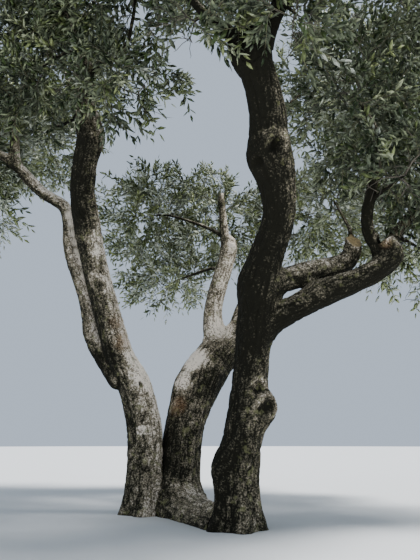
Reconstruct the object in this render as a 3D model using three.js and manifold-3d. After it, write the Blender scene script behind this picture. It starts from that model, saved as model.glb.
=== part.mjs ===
// Olive tree: three leaning trunks from one root crown, with boughs that end in separate masses of leaves.
// Millimetres, +Z up. The origin is on the flat cut under the right trunk, at ground level.
// Seen from the front, along +Y, +X is to the right.
import * as THREE from "three";
import { mergeVertices } from "three/addons/utils/BufferGeometryUtils.js";
import Module from "manifold-3d";

const wasm = await Module();
wasm.setup();

const FLARE_LEVEL = 0.75; // mean share of a root flare's spread, round the trunk's foot
const FLARE_SWING = 0.4; // how much more of it the lobes have, and how much less the hollows between them
const SEAT_GAP = 0.35; // clear space between a limb and the limb it grows from
const MERGE_WIDTH = 0.05; // detail finer than this, left by joining and cutting, is smoothed away
const BARK = { color: 0x6b6255, roughness: 0.95, metalness: 0 };
const LEAF = { color: 0x5f6f4a, roughness: 0.6, metalness: 0 };

const TRUNK_SIDES = 10;
const BOUGH_SIDES = 7;
const STEM_SIDES = 4;
const TWIG_SIDES = 3;

const TWIG_TIP_RADIUS = 6; // a twig's radius where nothing grows beyond it
const TWIG_THICKENING = 0.45; // power by which a twig thickens with the number of twigs it carries
const STEM_TIP_RADIUS = 11;
const STEM_RINGS = 3;
const STEM_BEND = 0.4; // share of its reach over which a stem holds the direction in which it leaves its limb
const STEM_LEAN = 0.5; // how far a stem on a limb's side leans along that limb
const TIP_STEM_GIRTH = 0.9; // the foot of a stem on a limb's tip, as a share of the limb's radius
const SIDE_STEM_GIRTH = 0.7; // the widest foot of a stem on a limb's side, as the same share
const SIDE_STEM_RADIUS = 10; // that foot's radius for a stem of no reach
const SIDE_STEM_THICKENING = 0.01; // and what each millimetre of reach adds to it
const STEM_JOINTS = [0.6, 0.8, 0.96]; // shares of a stem's length at which twigs spring from it
const TWIG_JOINT = 0.8; // share of a twig's length at which finer twigs spring from it
const JOINT_SHARE = 0.48; // widest start of a twig, as a share of what carries it, so that it starts inside

const LEAF_SHARES = [0.82, 0.68, 0.54, 0.42]; // lengths a blade tries, as shares of its mass's mean radius
const LEAF_WIDTH_SHARE = 0.34; // its width, as a share of its length
const LEAF_THICKNESS_SHARE = 0.03;
const LEAF_SINK = 2; // how far past the twig's axis a blade's root reaches
const LEAF_SPREAD = THREE.MathUtils.degToRad(46); // angle between a side blade and its twig
const SIDE_LEAVES_AT = [0.36, 0.64]; // where along a twig its pairs of side blades stand
const LEAF_TURNS = [0, 0.9, 1.8, 2.7]; // turns about its twig that a blade tries, in radians
const BLADE_SAMPLES_ALONG = [0.14, 0.25, 0.36, 0.47, 0.58, 0.7, 0.82, 0.91, 1];
const BLADE_SAMPLES_ACROSS = [-1, -0.5, 0, 0.5, 1];
const BLADE_ROOM = 0.75; // least distance between a blade and another's midrib, as a share of its half width
const TWIG_SAMPLES = [0.3, 0.5, 0.7, 0.85, 1];
const LIMB_SEGMENTS = 12; // straight stretches by which a limb's clearance is measured
const STEM_SEGMENTS = 6; // and a stem's
const SEED_STEP = 17; // how far each mass starts along the number series after the one before it
const GOLDEN_ANGLE = THREE.MathUtils.degToRad(137.508);

const ANCHOR_INNER = 0.36; // the shell of a mass that its twig tips fill, as shares of its radii
const ANCHOR_OUTER = 0.56;
const ANCHORS_PER_AREA = 7.1; // twig tips for each square metre of a mass's mean radius squared
const FEWEST_ANCHORS = 3;
const DETOUR_WEIGHT = 0.35; // how much a twig minds the way back along the twigs to the stem's foot
const SPACE_MARGIN = 0.035; // clear share of the radii between two neighbouring masses
const LIMB_MARGIN = 13; // clear space between leaves and the limbs they grow past
const TWIG_MARGIN = 24; // and between twigs' axes and limbs

// Each limb is a smooth path with a girth (its radius) at each point. A trunk starts below the ground and is
// cut flat there. A bough starts inside the limb it grows from, and is cut to that limb's surface. A knot is
// a swelling of the bark round a point of the surface.
const LIMBS = [
  {
    name: "right_trunk",
    sides: TRUNK_SIDES,
    ringStep: 115,
    path: [[-5, 0, -60], [30, 0, 370], [94, -60, 870], [135, -270, 1240], [207, -430, 1490],
      [152, -577, 1740], [125, -700, 1920], [50, -838, 2150]],
    girth: [97, 97, 92, 92, 80, 92, 86, 74],
    flare: { spread: 62, height: 130, lobes: 5, turn: 0.4 },
    knots: [
      { at: [185, -40, 560], reach: 85, swell: 62 },
      { at: [-85, -20, 290], reach: 95, swell: 52 },
      { at: [235, -560, 1690], reach: 80, swell: 16 },
      { at: [-30, -824, 2078], reach: 75, swell: 34 },
      { at: [55, -576, 1696], reach: 95, swell: 28 },
      { at: [6, -244, 1184], reach: 100, swell: 28 },
    ],
  },
  {
    name: "left_trunk",
    sides: TRUNK_SIDES,
    ringStep: 135,
    path: [[-508, 600, -60], [-525, 600, 420], [-560, 576, 600], [-607, 546, 760], [-679, 515, 900],
      [-739, 467, 1080], [-806, 396, 1317], [-860, 321, 1540], [-891, 255, 1712], [-915, 189, 1876],
      [-892, 119, 2042], [-855, 68, 2156], [-853, 24, 2252], [-871, -30, 2375], [-868, -114, 2545]],
    girth: [104, 106, 103, 100, 88, 83, 83, 77, 81, 77, 75, 83, 72, 52, 45],
    flare: { spread: 56, height: 120, lobes: 5, turn: 2.1 },
    knots: [
      { at: [-770, 50, 2200], reach: 60, swell: 14 },
    ],
  },
  {
    name: "middle_trunk",
    sides: TRUNK_SIDES,
    ringStep: 130,
    path: [[-337, 632, -60], [-300, 690, 430], [-240, 765, 690], [-150, 838, 885], [20, 930, 1070]],
    girth: [122, 124, 140, 143, 92],
    flare: { spread: 48, height: 120, lobes: 4, turn: 1.2 },
    knots: [
      { at: [-330, 700, 780], reach: 90, swell: 22 },
    ],
  },
  {
    name: "root_crown",
    sides: TRUNK_SIDES,
    ringStep: 120,
    path: [[-20, 20, -25], [-150, 260, -45], [-300, 600, -25]],
    girth: [150, 150, 170],
  },
  {
    name: "left_back_bough",
    sides: BOUGH_SIDES,
    ringStep: 115,
    path: [[-700, 535, 780], [-865, 548, 1030], [-903, 529, 1207], [-958, 509, 1386],
      [-1014, 491, 1543], [-1039, 480, 1676], [-1056, 462, 1794], [-1082, 445, 1889],
      [-1147, 433, 1934], [-1223, 411, 1974], [-1297, 376, 2043], [-1393, 323, 2138],
      [-1482, 287, 2190], [-1579, 262, 2223]],
    girth: [66, 55, 47, 44, 47, 47, 36, 38, 36, 36, 39, 36, 29, 26],
  },
  {
    name: "left_back_upright",
    sides: BOUGH_SIDES,
    ringStep: 120,
    path: [[-1393, 320, 2145], [-1392, 274, 2273], [-1399, 234, 2379]],
    girth: [32, 31, 26],
  },
  {
    name: "left_rear_bough",
    sides: BOUGH_SIDES,
    ringStep: 280,
    path: [[-885, 150, 1960], [-960, 330, 2250], [-1110, 700, 2750], [-1300, 1130, 3280]],
    girth: [40, 34, 29, 23],
  },
  {
    name: "left_top_bough",
    sides: BOUGH_SIDES,
    ringStep: 220,
    path: [[-867, -110, 2500], [-909, -153, 2640], [-1013, -244, 2912], [-1090, -300, 3200]],
    girth: [34, 26, 22, 18],
  },
  {
    name: "left_inner_bough",
    sides: BOUGH_SIDES,
    ringStep: 125,
    path: [[-862, -100, 2480], [-777, -143, 2555], [-680, -169, 2575], [-607, -211, 2647],
      [-560, -290, 2850]],
    girth: [22, 14, 12, 11, 10],
  },
  {
    name: "middle_bough",
    sides: BOUGH_SIDES + 1,
    ringStep: 120,
    path: [[-70, 870, 1010], [-102, 960, 1180], [-105, 990, 1330], [-70, 1010, 1500],
      [-15, 1032, 1700], [18, 1040, 1860]],
    girth: [92, 78, 66, 62, 61, 52],
    knots: [
      { at: [50, 1020, 1800], reach: 60, swell: 12 },
    ],
  },
  {
    name: "middle_shoot",
    sides: BOUGH_SIDES,
    ringStep: 120,
    path: [[0, 1038, 1740], [-22, 1055, 1960], [-38, 1072, 2190]],
    girth: [38, 33, 27],
  },
  {
    name: "back_bough",
    sides: BOUGH_SIDES + 1,
    ringStep: 200,
    path: [[25, 925, 1060], [140, 1080, 1380], [300, 1230, 1800], [480, 1350, 2110]],
    girth: [74, 66, 52, 38],
  },
  {
    name: "back_upper_bough",
    sides: BOUGH_SIDES,
    ringStep: 320,
    path: [[290, 1222, 1770], [430, 1290, 2400], [420, 1280, 3000], [330, 1200, 3500]],
    girth: [43, 37, 31, 24],
  },
  {
    name: "upper_right_bough",
    sides: BOUGH_SIDES + 1,
    ringStep: 95,
    path: [[130, -215, 1130], [222, -212, 1200], [412, -165, 1268], [560, -130, 1312],
      [622, -128, 1372], [636, -140, 1462]],
    girth: [68, 63, 60, 55, 48, 38],
  },
  {
    name: "lower_right_bough",
    sides: BOUGH_SIDES + 1,
    ringStep: 105,
    path: [[110, -110, 950], [203, -154, 1012], [420, -225, 1118], [640, -262, 1212],
      [745, -280, 1272], [800, -290, 1345], [782, -290, 1430]],
    girth: [70, 65, 63, 60, 57, 55, 44],
    knots: [
      { at: [420, -240, 1190], reach: 90, swell: 20 },
    ],
  },
  {
    name: "right_upright_bough",
    sides: BOUGH_SIDES,
    ringStep: 110,
    path: [[742, -262, 1300], [720, -262, 1375], [684, -272, 1440], [676, -294, 1530],
      [693, -327, 1624], [718, -379, 1772], [712, -439, 1909]],
    girth: [40, 37, 33, 32, 29, 26, 22],
  },
  {
    name: "right_outer_bough",
    sides: BOUGH_SIDES,
    ringStep: 160,
    path: [[785, -280, 1325], [850, -110, 1450], [1060, 10, 1700], [1400, -50, 2050]],
    girth: [40, 36, 31, 24],
  },
  {
    name: "top_left_bough",
    sides: BOUGH_SIDES,
    ringStep: 120,
    path: [[40, -835, 2080], [-31, -854, 2165], [-107, -863, 2235], [-216, -882, 2340],
      [-400, -950, 2600]],
    girth: [43, 34, 27, 18, 14],
  },
  {
    name: "top_middle_bough",
    sides: BOUGH_SIDES,
    ringStep: 300,
    path: [[55, -820, 2080], [70, -800, 2300], [20, -650, 2700], [-60, -430, 3300],
      [-60, -260, 3900]],
    girth: [64, 56, 46, 37, 27],
  },
  {
    name: "top_right_bough",
    sides: BOUGH_SIDES,
    ringStep: 125,
    path: [[78, -830, 2080], [139, -868, 2213], [190, -915, 2305], [340, -1040, 2560]],
    girth: [48, 43, 37, 28],
  },
];

// Each mass of leaves fills an egg-shaped space of its own round a centre. Its stem leaves its limb at a
// share of the limb's path, 1 being the tip, and runs to the middle of the mass.
const MASSES = [
  { name: "leaves_left_low", limb: "left_back_bough", at: 1,
    centre: [-1790, 330, 2400], radii: [600, 560, 420] },
  { name: "leaves_left_drooping", limb: "left_back_bough", at: 0.93,
    centre: [-1660, 500, 1850], radii: [330, 310, 280] },
  { name: "leaves_left_rim", limb: "left_back_upright", at: 1,
    centre: [-1500, 130, 2840], radii: [560, 500, 440] },
  { name: "leaves_left_high", limb: "left_top_bough", at: 1,
    centre: [-1150, -350, 3560], radii: [710, 670, 600] },
  { name: "leaves_left_centre", limb: "left_top_bough", at: 0.3,
    centre: [-1190, 20, 2640], radii: [370, 350, 370] },
  { name: "leaves_left_inner", limb: "left_inner_bough", at: 1,
    centre: [-640, -320, 2920], radii: [460, 440, 420] },
  { name: "leaves_left_hanging", limb: "left_trunk", at: 0.93,
    centre: [-630, -220, 2340], radii: [400, 300, 310] },
  { name: "leaves_left_rear", limb: "left_rear_bough", at: 0.62,
    centre: [-1690, 1260, 2800], radii: [600, 620, 450] },
  { name: "leaves_left_rear_high", limb: "left_rear_bough", at: 1,
    centre: [-1480, 1400, 3700], radii: [710, 680, 620] },
  { name: "leaves_back_left", limb: "middle_shoot", at: 0.35,
    centre: [-670, 1570, 2290], radii: [480, 440, 480] },
  { name: "leaves_back_low", limb: "middle_bough", at: 0.72,
    centre: [-500, 1600, 1660], radii: [410, 360, 240] },
  { name: "leaves_back_middle", limb: "middle_shoot", at: 1,
    centre: [-40, 1660, 2280], radii: [450, 420, 520] },
  { name: "leaves_back_right", limb: "back_bough", at: 1,
    centre: [720, 1420, 2250], radii: [540, 500, 460] },
  { name: "leaves_back_right_high", limb: "back_upper_bough", at: 0.72,
    centre: [1090, 1370, 3450], radii: [720, 680, 640] },
  { name: "leaves_back_top", limb: "back_upper_bough", at: 1,
    centre: [-20, 1180, 4560], radii: [760, 700, 560] },
  { name: "leaves_right_low", limb: "right_outer_bough", at: 0.62,
    centre: [1100, -200, 2000], radii: [500, 500, 450] },
  { name: "leaves_right_drooping", limb: "right_outer_bough", at: 0.4,
    centre: [1120, 0, 1410], radii: [450, 400, 310] },
  { name: "leaves_right_front", limb: "right_upright_bough", at: 0.6,
    centre: [820, -500, 1660], radii: [320, 240, 260] },
  { name: "leaves_right_inner", limb: "right_upright_bough", at: 1,
    centre: [600, -430, 2130], radii: [400, 360, 420] },
  { name: "leaves_right_middle", limb: "upper_right_bough", at: 0.9,
    centre: [600, 110, 1800], radii: [330, 300, 260] },
  { name: "leaves_right_rear", limb: "right_outer_bough", at: 0.5,
    centre: [1400, 1000, 2100], radii: [550, 520, 460] },
  { name: "leaves_right_far", limb: "right_outer_bough", at: 0.8,
    centre: [1200, 500, 2720], radii: [620, 580, 480] },
  { name: "leaves_right_high", limb: "top_right_bough", at: 0.85,
    centre: [1040, -780, 2880], radii: [690, 650, 590] },
  { name: "leaves_right_outer", limb: "right_outer_bough", at: 1,
    centre: [1920, -40, 2540], radii: [640, 640, 560] },
  { name: "leaves_front_right", limb: "top_right_bough", at: 1,
    centre: [620, -1600, 3120], radii: [690, 620, 590] },
  { name: "leaves_front_left", limb: "top_left_bough", at: 1,
    centre: [-580, -1420, 3120], radii: [710, 640, 590] },
  { name: "leaves_top_front", limb: "top_middle_bough", at: 0.5,
    centre: [120, -1000, 3960], radii: [640, 600, 520] },
  { name: "leaves_top_middle", limb: "top_middle_bough", at: 0.72,
    centre: [180, 440, 4080], radii: [600, 560, 480] },
  { name: "leaves_top_right", limb: "top_middle_bough", at: 0.62,
    centre: [980, -240, 3880], radii: [740, 700, 620] },
  { name: "leaves_top_left", limb: "top_middle_bough", at: 0.8,
    centre: [-820, -330, 4330], radii: [690, 670, 540] },
  { name: "leaves_crown_top", limb: "top_middle_bough", at: 1,
    centre: [60, -220, 4780], radii: [720, 700, 520] },
  { name: "leaves_fork", limb: "top_left_bough", at: 0.6,
    centre: [-200, -880, 2220], radii: [270, 200, 190] },
  { name: "leaves_fork_right", limb: "top_right_bough", at: 0.6,
    centre: [240, -1000, 2150], radii: [320, 200, 220] },
];

const vector = ([x, y, z]) => new THREE.Vector3(x, y, z);
const smoothCurve = (points) => new THREE.CatmullRomCurve3(points.map(vector), false, "catmullrom", 0.5);

// A closed surface over rings of equal count, each a list of points, with a flat cap at each end.
function closedLoft(rings) {
  const sides = rings[0].length;
  const positions = rings.flat().flatMap((p) => [p.x, p.y, p.z]);
  const faces = [];
  for (let ring = 0; ring + 1 < rings.length; ring++) {
    for (let side = 0; side < sides; side++) {
      const a = ring * sides + side;
      const b = ring * sides + ((side + 1) % sides);
      faces.push(a, b, b + sides, a, b + sides, a + sides);
    }
  }
  const last = (rings.length - 1) * sides;
  for (let side = 1; side + 1 < sides; side++) {
    faces.push(0, side + 1, side, last, last + side, last + side + 1);
  }
  return new THREE.BufferGeometry()
    .setAttribute("position", new THREE.Float32BufferAttribute(positions, 3))
    .setIndex(faces);
}

function solidOf(geometry) {
  const bare = new THREE.BufferGeometry().setAttribute("position", geometry.getAttribute("position"));
  if (geometry.index) bare.setIndex(geometry.index);
  const merged = mergeVertices(bare, 1e-4);
  return new wasm.Manifold(new wasm.Mesh({
    numProp: 3,
    vertProperties: new Float32Array(merged.getAttribute("position").array),
    triVerts: new Uint32Array(merged.index.array),
  }));
}

// The largest body of a solid, so that a loose scrap or a hollow sealed inside is left out.
function mainBody(solid) {
  const bodies = solid.decompose();
  return bodies.reduce((best, body) => (body.volume() > best.volume() ? body : best));
}

function meshOf(name, solid, look) {
  const { numProp, vertProperties, triVerts } = solid.getMesh();
  const positions = [];
  for (let i = 0; i < vertProperties.length; i += numProp) {
    positions.push(vertProperties[i], vertProperties[i + 1], vertProperties[i + 2]);
  }
  const geometry = new THREE.BufferGeometry()
    .setAttribute("position", new THREE.Float32BufferAttribute(positions, 3))
    .setIndex(Array.from(triVerts));
  geometry.computeVertexNormals();
  const mesh = new THREE.Mesh(geometry, new THREE.MeshStandardMaterial(look));
  mesh.name = name;
  return mesh;
}

// Directions of the rings along a curve, each normal carried on from the one before so that they don't twist.
function ringFrames(curve, count) {
  const frames = [];
  let normal = new THREE.Vector3(1, 0, 0);
  for (let i = 0; i <= count; i++) {
    const share = i / count;
    const tangent = curve.getTangent(share);
    if (i === 0 && Math.abs(tangent.x) > 0.9) normal = new THREE.Vector3(0, 0, 1);
    normal = normal.clone().addScaledVector(tangent, -normal.dot(tangent)).normalize();
    const side = tangent.clone().cross(normal);
    frames.push({ share, centre: curve.getPoint(share), tangent, normal, side });
  }
  return frames;
}

function swellAt(limb, point, foot) {
  let swell = 0;
  for (const knot of limb.knots ?? []) {
    const distance = point.distanceTo(vector(knot.at)) / knot.reach;
    swell += knot.swell * Math.exp(-distance * distance);
  }
  if (limb.flare) {
    const { spread, height, lobes, turn } = limb.flare;
    const around = Math.atan2(point.y - foot.y, point.x - foot.x);
    const lobe = FLARE_LEVEL + FLARE_SWING * Math.cos(lobes * around + turn);
    swell += spread * Math.exp(-point.z / height) * lobe;
  }
  return swell;
}

// A limb's rings. Grown by a little all round, it is the tool that seats the limbs that spring from it.
function limbSolid(limb, grown = 0) {
  const count = Math.max(2, Math.round(limb.curve.getLength() / limb.ringStep));
  const foot = vector(limb.path[0]);
  const rings = ringFrames(limb.curve, count).map(({ share, centre, tangent, normal, side }) => {
    const radius = limb.girthCurve.getPoint(share).x;
    const shift = share === 0 ? -grown : share === 1 ? grown : 0;
    return Array.from({ length: limb.sides }, (_, i) => {
      const angle = (2 * Math.PI * i) / limb.sides;
      const outward = normal.clone().multiplyScalar(Math.cos(angle)).addScaledVector(side, Math.sin(angle));
      const bare = centre.clone().addScaledVector(outward, radius);
      const reach = radius + swellAt(limb, bare, foot) + grown;
      return centre.clone().addScaledVector(outward, reach).addScaledVector(tangent, shift);
    });
  });
  return solidOf(closedLoft(rings));
}

function boxesMeet(a, b) {
  const boxA = a.boundingBox();
  const boxB = b.boundingBox();
  return [0, 1, 2].every((k) => boxA.min[k] < boxB.max[k] && boxB.min[k] < boxA.max[k]);
}

// Every limb, cut to the ground and to the limbs made before it.
function makeLimbs() {
  const made = new Map();
  for (const plan of LIMBS) {
    const limb = {
      ...plan,
      curve: smoothCurve(plan.path),
      girthCurve: smoothCurve(plan.girth.map((r) => [r, 0, 0])),
    };
    limb.cutter = limbSolid(limb, SEAT_GAP);
    let solid = limbSolid(limb).trimByPlane([0, 0, 1], 0);
    for (const earlier of made.values()) {
      if (boxesMeet(solid, earlier.cutter)) solid = solid.subtract(earlier.cutter);
    }
    limb.solid = mainBody(solid.simplify(MERGE_WIDTH));
    made.set(plan.name, limb);
  }
  return made;
}

// Halton's evenly spread numbers from 0 to 1: the seeded rule for how far out the twig tips of a mass lie.
function halton(index, base) {
  let result = 0;
  let share = 1 / base;
  for (let i = index; i > 0; i = Math.floor(i / base)) {
    result += (i % base) * share;
    share /= base;
  }
  return result;
}

function distanceToSegment(point, from, to) {
  const along = to.clone().sub(from);
  const share = THREE.MathUtils.clamp(point.clone().sub(from).dot(along) / along.lengthSq(), 0, 1);
  return { distance: point.distanceTo(from.clone().addScaledVector(along, share)), share };
}

// A limb or stem as short tapering segments, each with the name of its node.
function segmentsOf(name, curve, radiusAt, count) {
  return Array.from({ length: count }, (_, i) => ({
    name,
    from: curve.getPoint(i / count),
    to: curve.getPoint((i + 1) / count),
    radiusFrom: radiusAt(i / count),
    radiusTo: radiusAt((i + 1) / count),
  }));
}

// How deep a point is in a mass's space: 0 at the centre and 1 on the outside.
function depthIn(mass, point) {
  const [cx, cy, cz] = mass.centre;
  const [rx, ry, rz] = mass.radii;
  return Math.hypot((point.x - cx) / rx, (point.y - cy) / ry, (point.z - cz) / rz);
}

// The masses whose spaces may meet a mass's own.
function neighboursOf(mass) {
  const heart = vector(mass.centre);
  return MASSES.filter((other) => other !== mass
    && heart.distanceTo(vector(other.centre)) < Math.max(...mass.radii) + Math.max(...other.radii));
}

// Whether a point lies in a mass's own space: inside it, nearer to its centre than to any neighbour's.
function inOwnSpace(mass, point) {
  const depth = depthIn(mass, point);
  return depth <= 1 && mass.neighbours.every((other) => depth + SPACE_MARGIN < depthIn(other, point));
}

// Whether all points of a twig or blade lie in its mass's own space, clear of limbs and other masses' stems.
function isFree(mass, points, margin, obstacles) {
  const reach = new THREE.Sphere().setFromPoints(points);
  const roomBy = ({ from, to, radiusFrom, radiusTo }, point) => {
    const { distance, share } = distanceToSegment(point, from, to);
    return distance - THREE.MathUtils.lerp(radiusFrom, radiusTo, share) - margin;
  };
  const near = obstacles.filter((piece) =>
    piece.name !== mass.name && roomBy(piece, reach.center) < reach.radius);
  return points.every((point) => inOwnSpace(mass, point) && near.every((piece) => roomBy(piece, point) > 0));
}

// The stem of a mass: it leaves its limb, along the tip or out of the side, and bends to the mass's heart.
function planStem(mass, limbs) {
  const limb = limbs.get(mass.limb);
  const start = limb.curve.getPoint(mass.at);
  const heart = vector(mass.centre);
  const reach = start.distanceTo(heart);
  const atTip = mass.at === 1;
  const leaving = atTip ? limb.curve.getTangent(1) : heart.clone().sub(start).normalize();
  if (!atTip) leaving.addScaledVector(limb.curve.getTangent(mass.at), STEM_LEAN).normalize();
  const limbRadius = limb.girthCurve.getPoint(mass.at).x;
  if (atTip) start.addScaledVector(leaving, -limbRadius / 2);
  const bend = start.clone().addScaledVector(leaving, reach * STEM_BEND);
  const curve = new THREE.QuadraticBezierCurve3(start, bend, heart);
  const sideFoot = Math.min(limbRadius * SIDE_STEM_GIRTH, SIDE_STEM_RADIUS + reach * SIDE_STEM_THICKENING);
  const footRadius = atTip ? limbRadius * TIP_STEM_GIRTH : sideFoot;
  const radiusAt = (share) => THREE.MathUtils.lerp(footRadius, Math.min(STEM_TIP_RADIUS, footRadius), share);
  return { curve, radiusAt };
}

// A direction at right angles to another, turned about it by an angle.
function sideways(direction, turn) {
  const helper = Math.abs(direction.z) < 0.9 ? new THREE.Vector3(0, 0, 1) : new THREE.Vector3(1, 0, 0);
  return helper.cross(direction).normalize().applyAxisAngle(direction, turn);
}

// A straight twig with a flat cap at each end.
function twigSolid({ from, to, radius }) {
  const direction = to.clone().sub(from).normalize();
  const ring = (centre, reach) => Array.from({ length: TWIG_SIDES }, (_, i) =>
    centre.clone().addScaledVector(sideways(direction, (2 * Math.PI * i) / TWIG_SIDES), reach));
  return solidOf(closedLoft([ring(from, radius), ring(to, TWIG_TIP_RADIUS)]));
}

// The stem of a mass, seated clear of the limb that it grows from.
function stemSolid({ curve, radiusAt }, limb) {
  const rings = ringFrames(curve, STEM_RINGS).map(({ share, centre, tangent, normal }) =>
    Array.from({ length: STEM_SIDES }, (_, i) => {
      const outward = normal.clone().applyAxisAngle(tangent, (2 * Math.PI * i) / STEM_SIDES);
      return centre.clone().addScaledVector(outward, radiusAt(share));
    }));
  return mainBody(solidOf(closedLoft(rings)).subtract(limb.cutter));
}

// A spray blade: a long flat octahedron with its root sunk past the axis of the twig that carries it. Its
// samples lie all over its outline, for testing what is in its way.
function planBlade(root, direction, length, turn) {
  const across = sideways(direction, turn);
  const halfWidth = (length * LEAF_WIDTH_SHARE) / 2;
  const pointAt = (share, offset) => root.clone()
    .addScaledVector(direction, share * length - LEAF_SINK)
    .addScaledVector(across, offset * halfWidth * (1 - Math.abs(2 * share - 1)));
  const samples = BLADE_SAMPLES_ALONG.flatMap((share) =>
    BLADE_SAMPLES_ACROSS.map((offset) => pointAt(share, offset)));
  const [neck, middle, tip] = [0.3, 0.5, 1].map((share) => pointAt(share, 0));
  return { direction, across, length, halfWidth, neck, middle, tip, samples };
}

function bladeSolid({ direction, across, length, halfWidth, middle }) {
  const up = across.clone().cross(direction);
  const geometry = new THREE.OctahedronGeometry(1, 0);
  geometry.scale(halfWidth, length / 2, (length * LEAF_THICKNESS_SHARE) / 2);
  geometry.applyMatrix4(new THREE.Matrix4().makeBasis(across, direction, up).setPosition(middle));
  return solidOf(geometry);
}

// Whether a blade stays off the blades already placed.
function clearOfBlades(blade, placed) {
  return placed.every(({ neck, tip }) =>
    blade.samples.every((point) =>
      distanceToSegment(point, neck, tip).distance > blade.halfWidth * BLADE_ROOM));
}

const meanRadius = ({ radii: [rx, ry, rz] }) => Math.cbrt(rx * ry * rz);

// Twig tips are spread evenly through a mass's shell, sorted outwards from its heart. Each is joined to the
// nearest joint of the stem or of an earlier twig that has a short way back. A twig thickens with the twigs
// it carries.
function growTwigs(mass, stem, seed, obstacles) {
  const [rx, ry, rz] = mass.radii;
  const heart = vector(mass.centre);
  const wanted = Math.max(FEWEST_ANCHORS, Math.round(ANCHORS_PER_AREA * (meanRadius(mass) / 1000) ** 2));
  const joints = STEM_JOINTS.map((share) => (
    { joint: stem.curve.getPoint(share), parent: null, way: 0, carried: 0, radius: stem.radiusAt(share) }));
  const anchors = Array.from({ length: wanted }, (_, i) => {
    const outward = THREE.MathUtils.lerp(ANCHOR_INNER, ANCHOR_OUTER, halton(i + 1 + seed, 2));
    const height = 1 - (2 * i + 1) / wanted;
    const turn = (i + seed) * GOLDEN_ANGLE;
    const level = Math.sqrt(1 - height * height);
    return heart.clone().add(new THREE.Vector3(
      rx * outward * level * Math.cos(turn), ry * outward * level * Math.sin(turn), rz * outward * height));
  }).sort((a, b) => a.distanceTo(heart) - b.distanceTo(heart));
  for (const anchor of anchors) {
    const choices = joints
      .map((carrier) => ({ carrier, distance: anchor.distanceTo(carrier.joint) }))
      .map((choice) => ({ ...choice, cost: choice.distance + DETOUR_WEIGHT * choice.carrier.way }))
      .sort((a, b) => a.cost - b.cost);
    const choice = choices.find(({ carrier }) => isFree(mass,
      TWIG_SAMPLES.map((share) => carrier.joint.clone().lerp(anchor, share)), TWIG_MARGIN, obstacles));
    if (!choice) continue;
    const { carrier, distance } = choice;
    const from = carrier.joint;
    joints.push({ from, to: anchor, joint: from.clone().lerp(anchor, TWIG_JOINT), parent: carrier,
      way: carrier.way + distance, carried: 0 });
    for (let below = carrier; below; below = below.parent) below.carried += 1;
  }
  const twigs = joints.filter((twig) => twig.parent);
  for (const twig of twigs) {
    const full = TWIG_TIP_RADIUS * (twig.carried + 1) ** TWIG_THICKENING;
    twig.radius = Math.max(TWIG_TIP_RADIUS, Math.min(full, twig.parent.radius * JOINT_SHARE));
  }
  return twigs;
}

// The blades of a mass: one ahead of each twig and pairs along its sides. A blade that would leave the space,
// touch a limb or cross another blade is turned about its twig, then made shorter, and skipped if that fails.
function planBlades(mass, twigs, obstacles) {
  const lengths = LEAF_SHARES.map((share) => share * meanRadius(mass));
  const placed = [];
  const placeFirstFree = (turns, planAt) => {
    for (const length of lengths) {
      for (const turn of turns) {
        const blade = planAt(length, turn);
        if (clearOfBlades(blade, placed) && isFree(mass, blade.samples, LIMB_MARGIN, obstacles)) {
          placed.push(blade);
          return;
        }
      }
    }
  };
  for (const [order, twig] of twigs.entries()) {
    const direction = twig.to.clone().sub(twig.from).normalize();
    const turns = LEAF_TURNS.map((turn) => turn + order * GOLDEN_ANGLE);
    const end = twig.to.clone().addScaledVector(direction, -TWIG_TIP_RADIUS);
    placeFirstFree(turns, (length, turn) => planBlade(end, direction, length, turn));
    for (const share of SIDE_LEAVES_AT) {
      const root = twig.from.clone().lerp(twig.to, share);
      for (const spread of [LEAF_SPREAD, -LEAF_SPREAD]) {
        placeFirstFree(turns, (length, turn) => {
          const outward = direction.clone().applyAxisAngle(sideways(direction, turn), spread);
          return planBlade(root, outward, length, placed.length * GOLDEN_ANGLE);
        });
      }
    }
  }
  return placed;
}

function massSolid(mass, index, stem, limbs, obstacles) {
  const twigs = growTwigs(mass, stem, SEED_STEP * index, obstacles);
  const blades = planBlades(mass, twigs, obstacles);
  const pieces = [stemSolid(stem, limbs.get(mass.limb)), ...twigs.map(twigSolid), ...blades.map(bladeSolid)];
  return mainBody(wasm.Manifold.union(pieces).simplify(MERGE_WIDTH));
}

const olive = new THREE.Group();
const limbs = makeLimbs();
for (const limb of limbs.values()) olive.add(meshOf(limb.name, limb.solid, BARK));

const masses = MASSES.map((mass) => ({ ...mass, neighbours: neighboursOf(mass) }));
const stems = masses.map((mass) => planStem(mass, limbs));
const obstacles = [...limbs.values()].flatMap((limb) =>
  segmentsOf(limb.name, limb.curve, (share) => limb.girthCurve.getPoint(share).x, LIMB_SEGMENTS));
masses.forEach((mass, i) => {
  obstacles.push(...segmentsOf(mass.name, stems[i].curve, stems[i].radiusAt, STEM_SEGMENTS));
});
masses.forEach((mass, i) => {
  olive.add(meshOf(mass.name, massSolid(mass, i, stems[i], limbs, obstacles), LEAF));
});

export default olive;
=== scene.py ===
"""An olive tree dressed for rendering: bark over its trunks and boughs, twigs, and sprays of narrow leaves.

Metres, +Z up. The origin is on the flat cut under the right trunk, at ground level. Seen from the front,
along +Y, +X is to the right. Trunks and boughs follow the frame's paths and girths. Each mass of leaves
fills the frame's egg-shaped space round its centre and grows by the same rule, carried on to finer twigs.
"""

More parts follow.
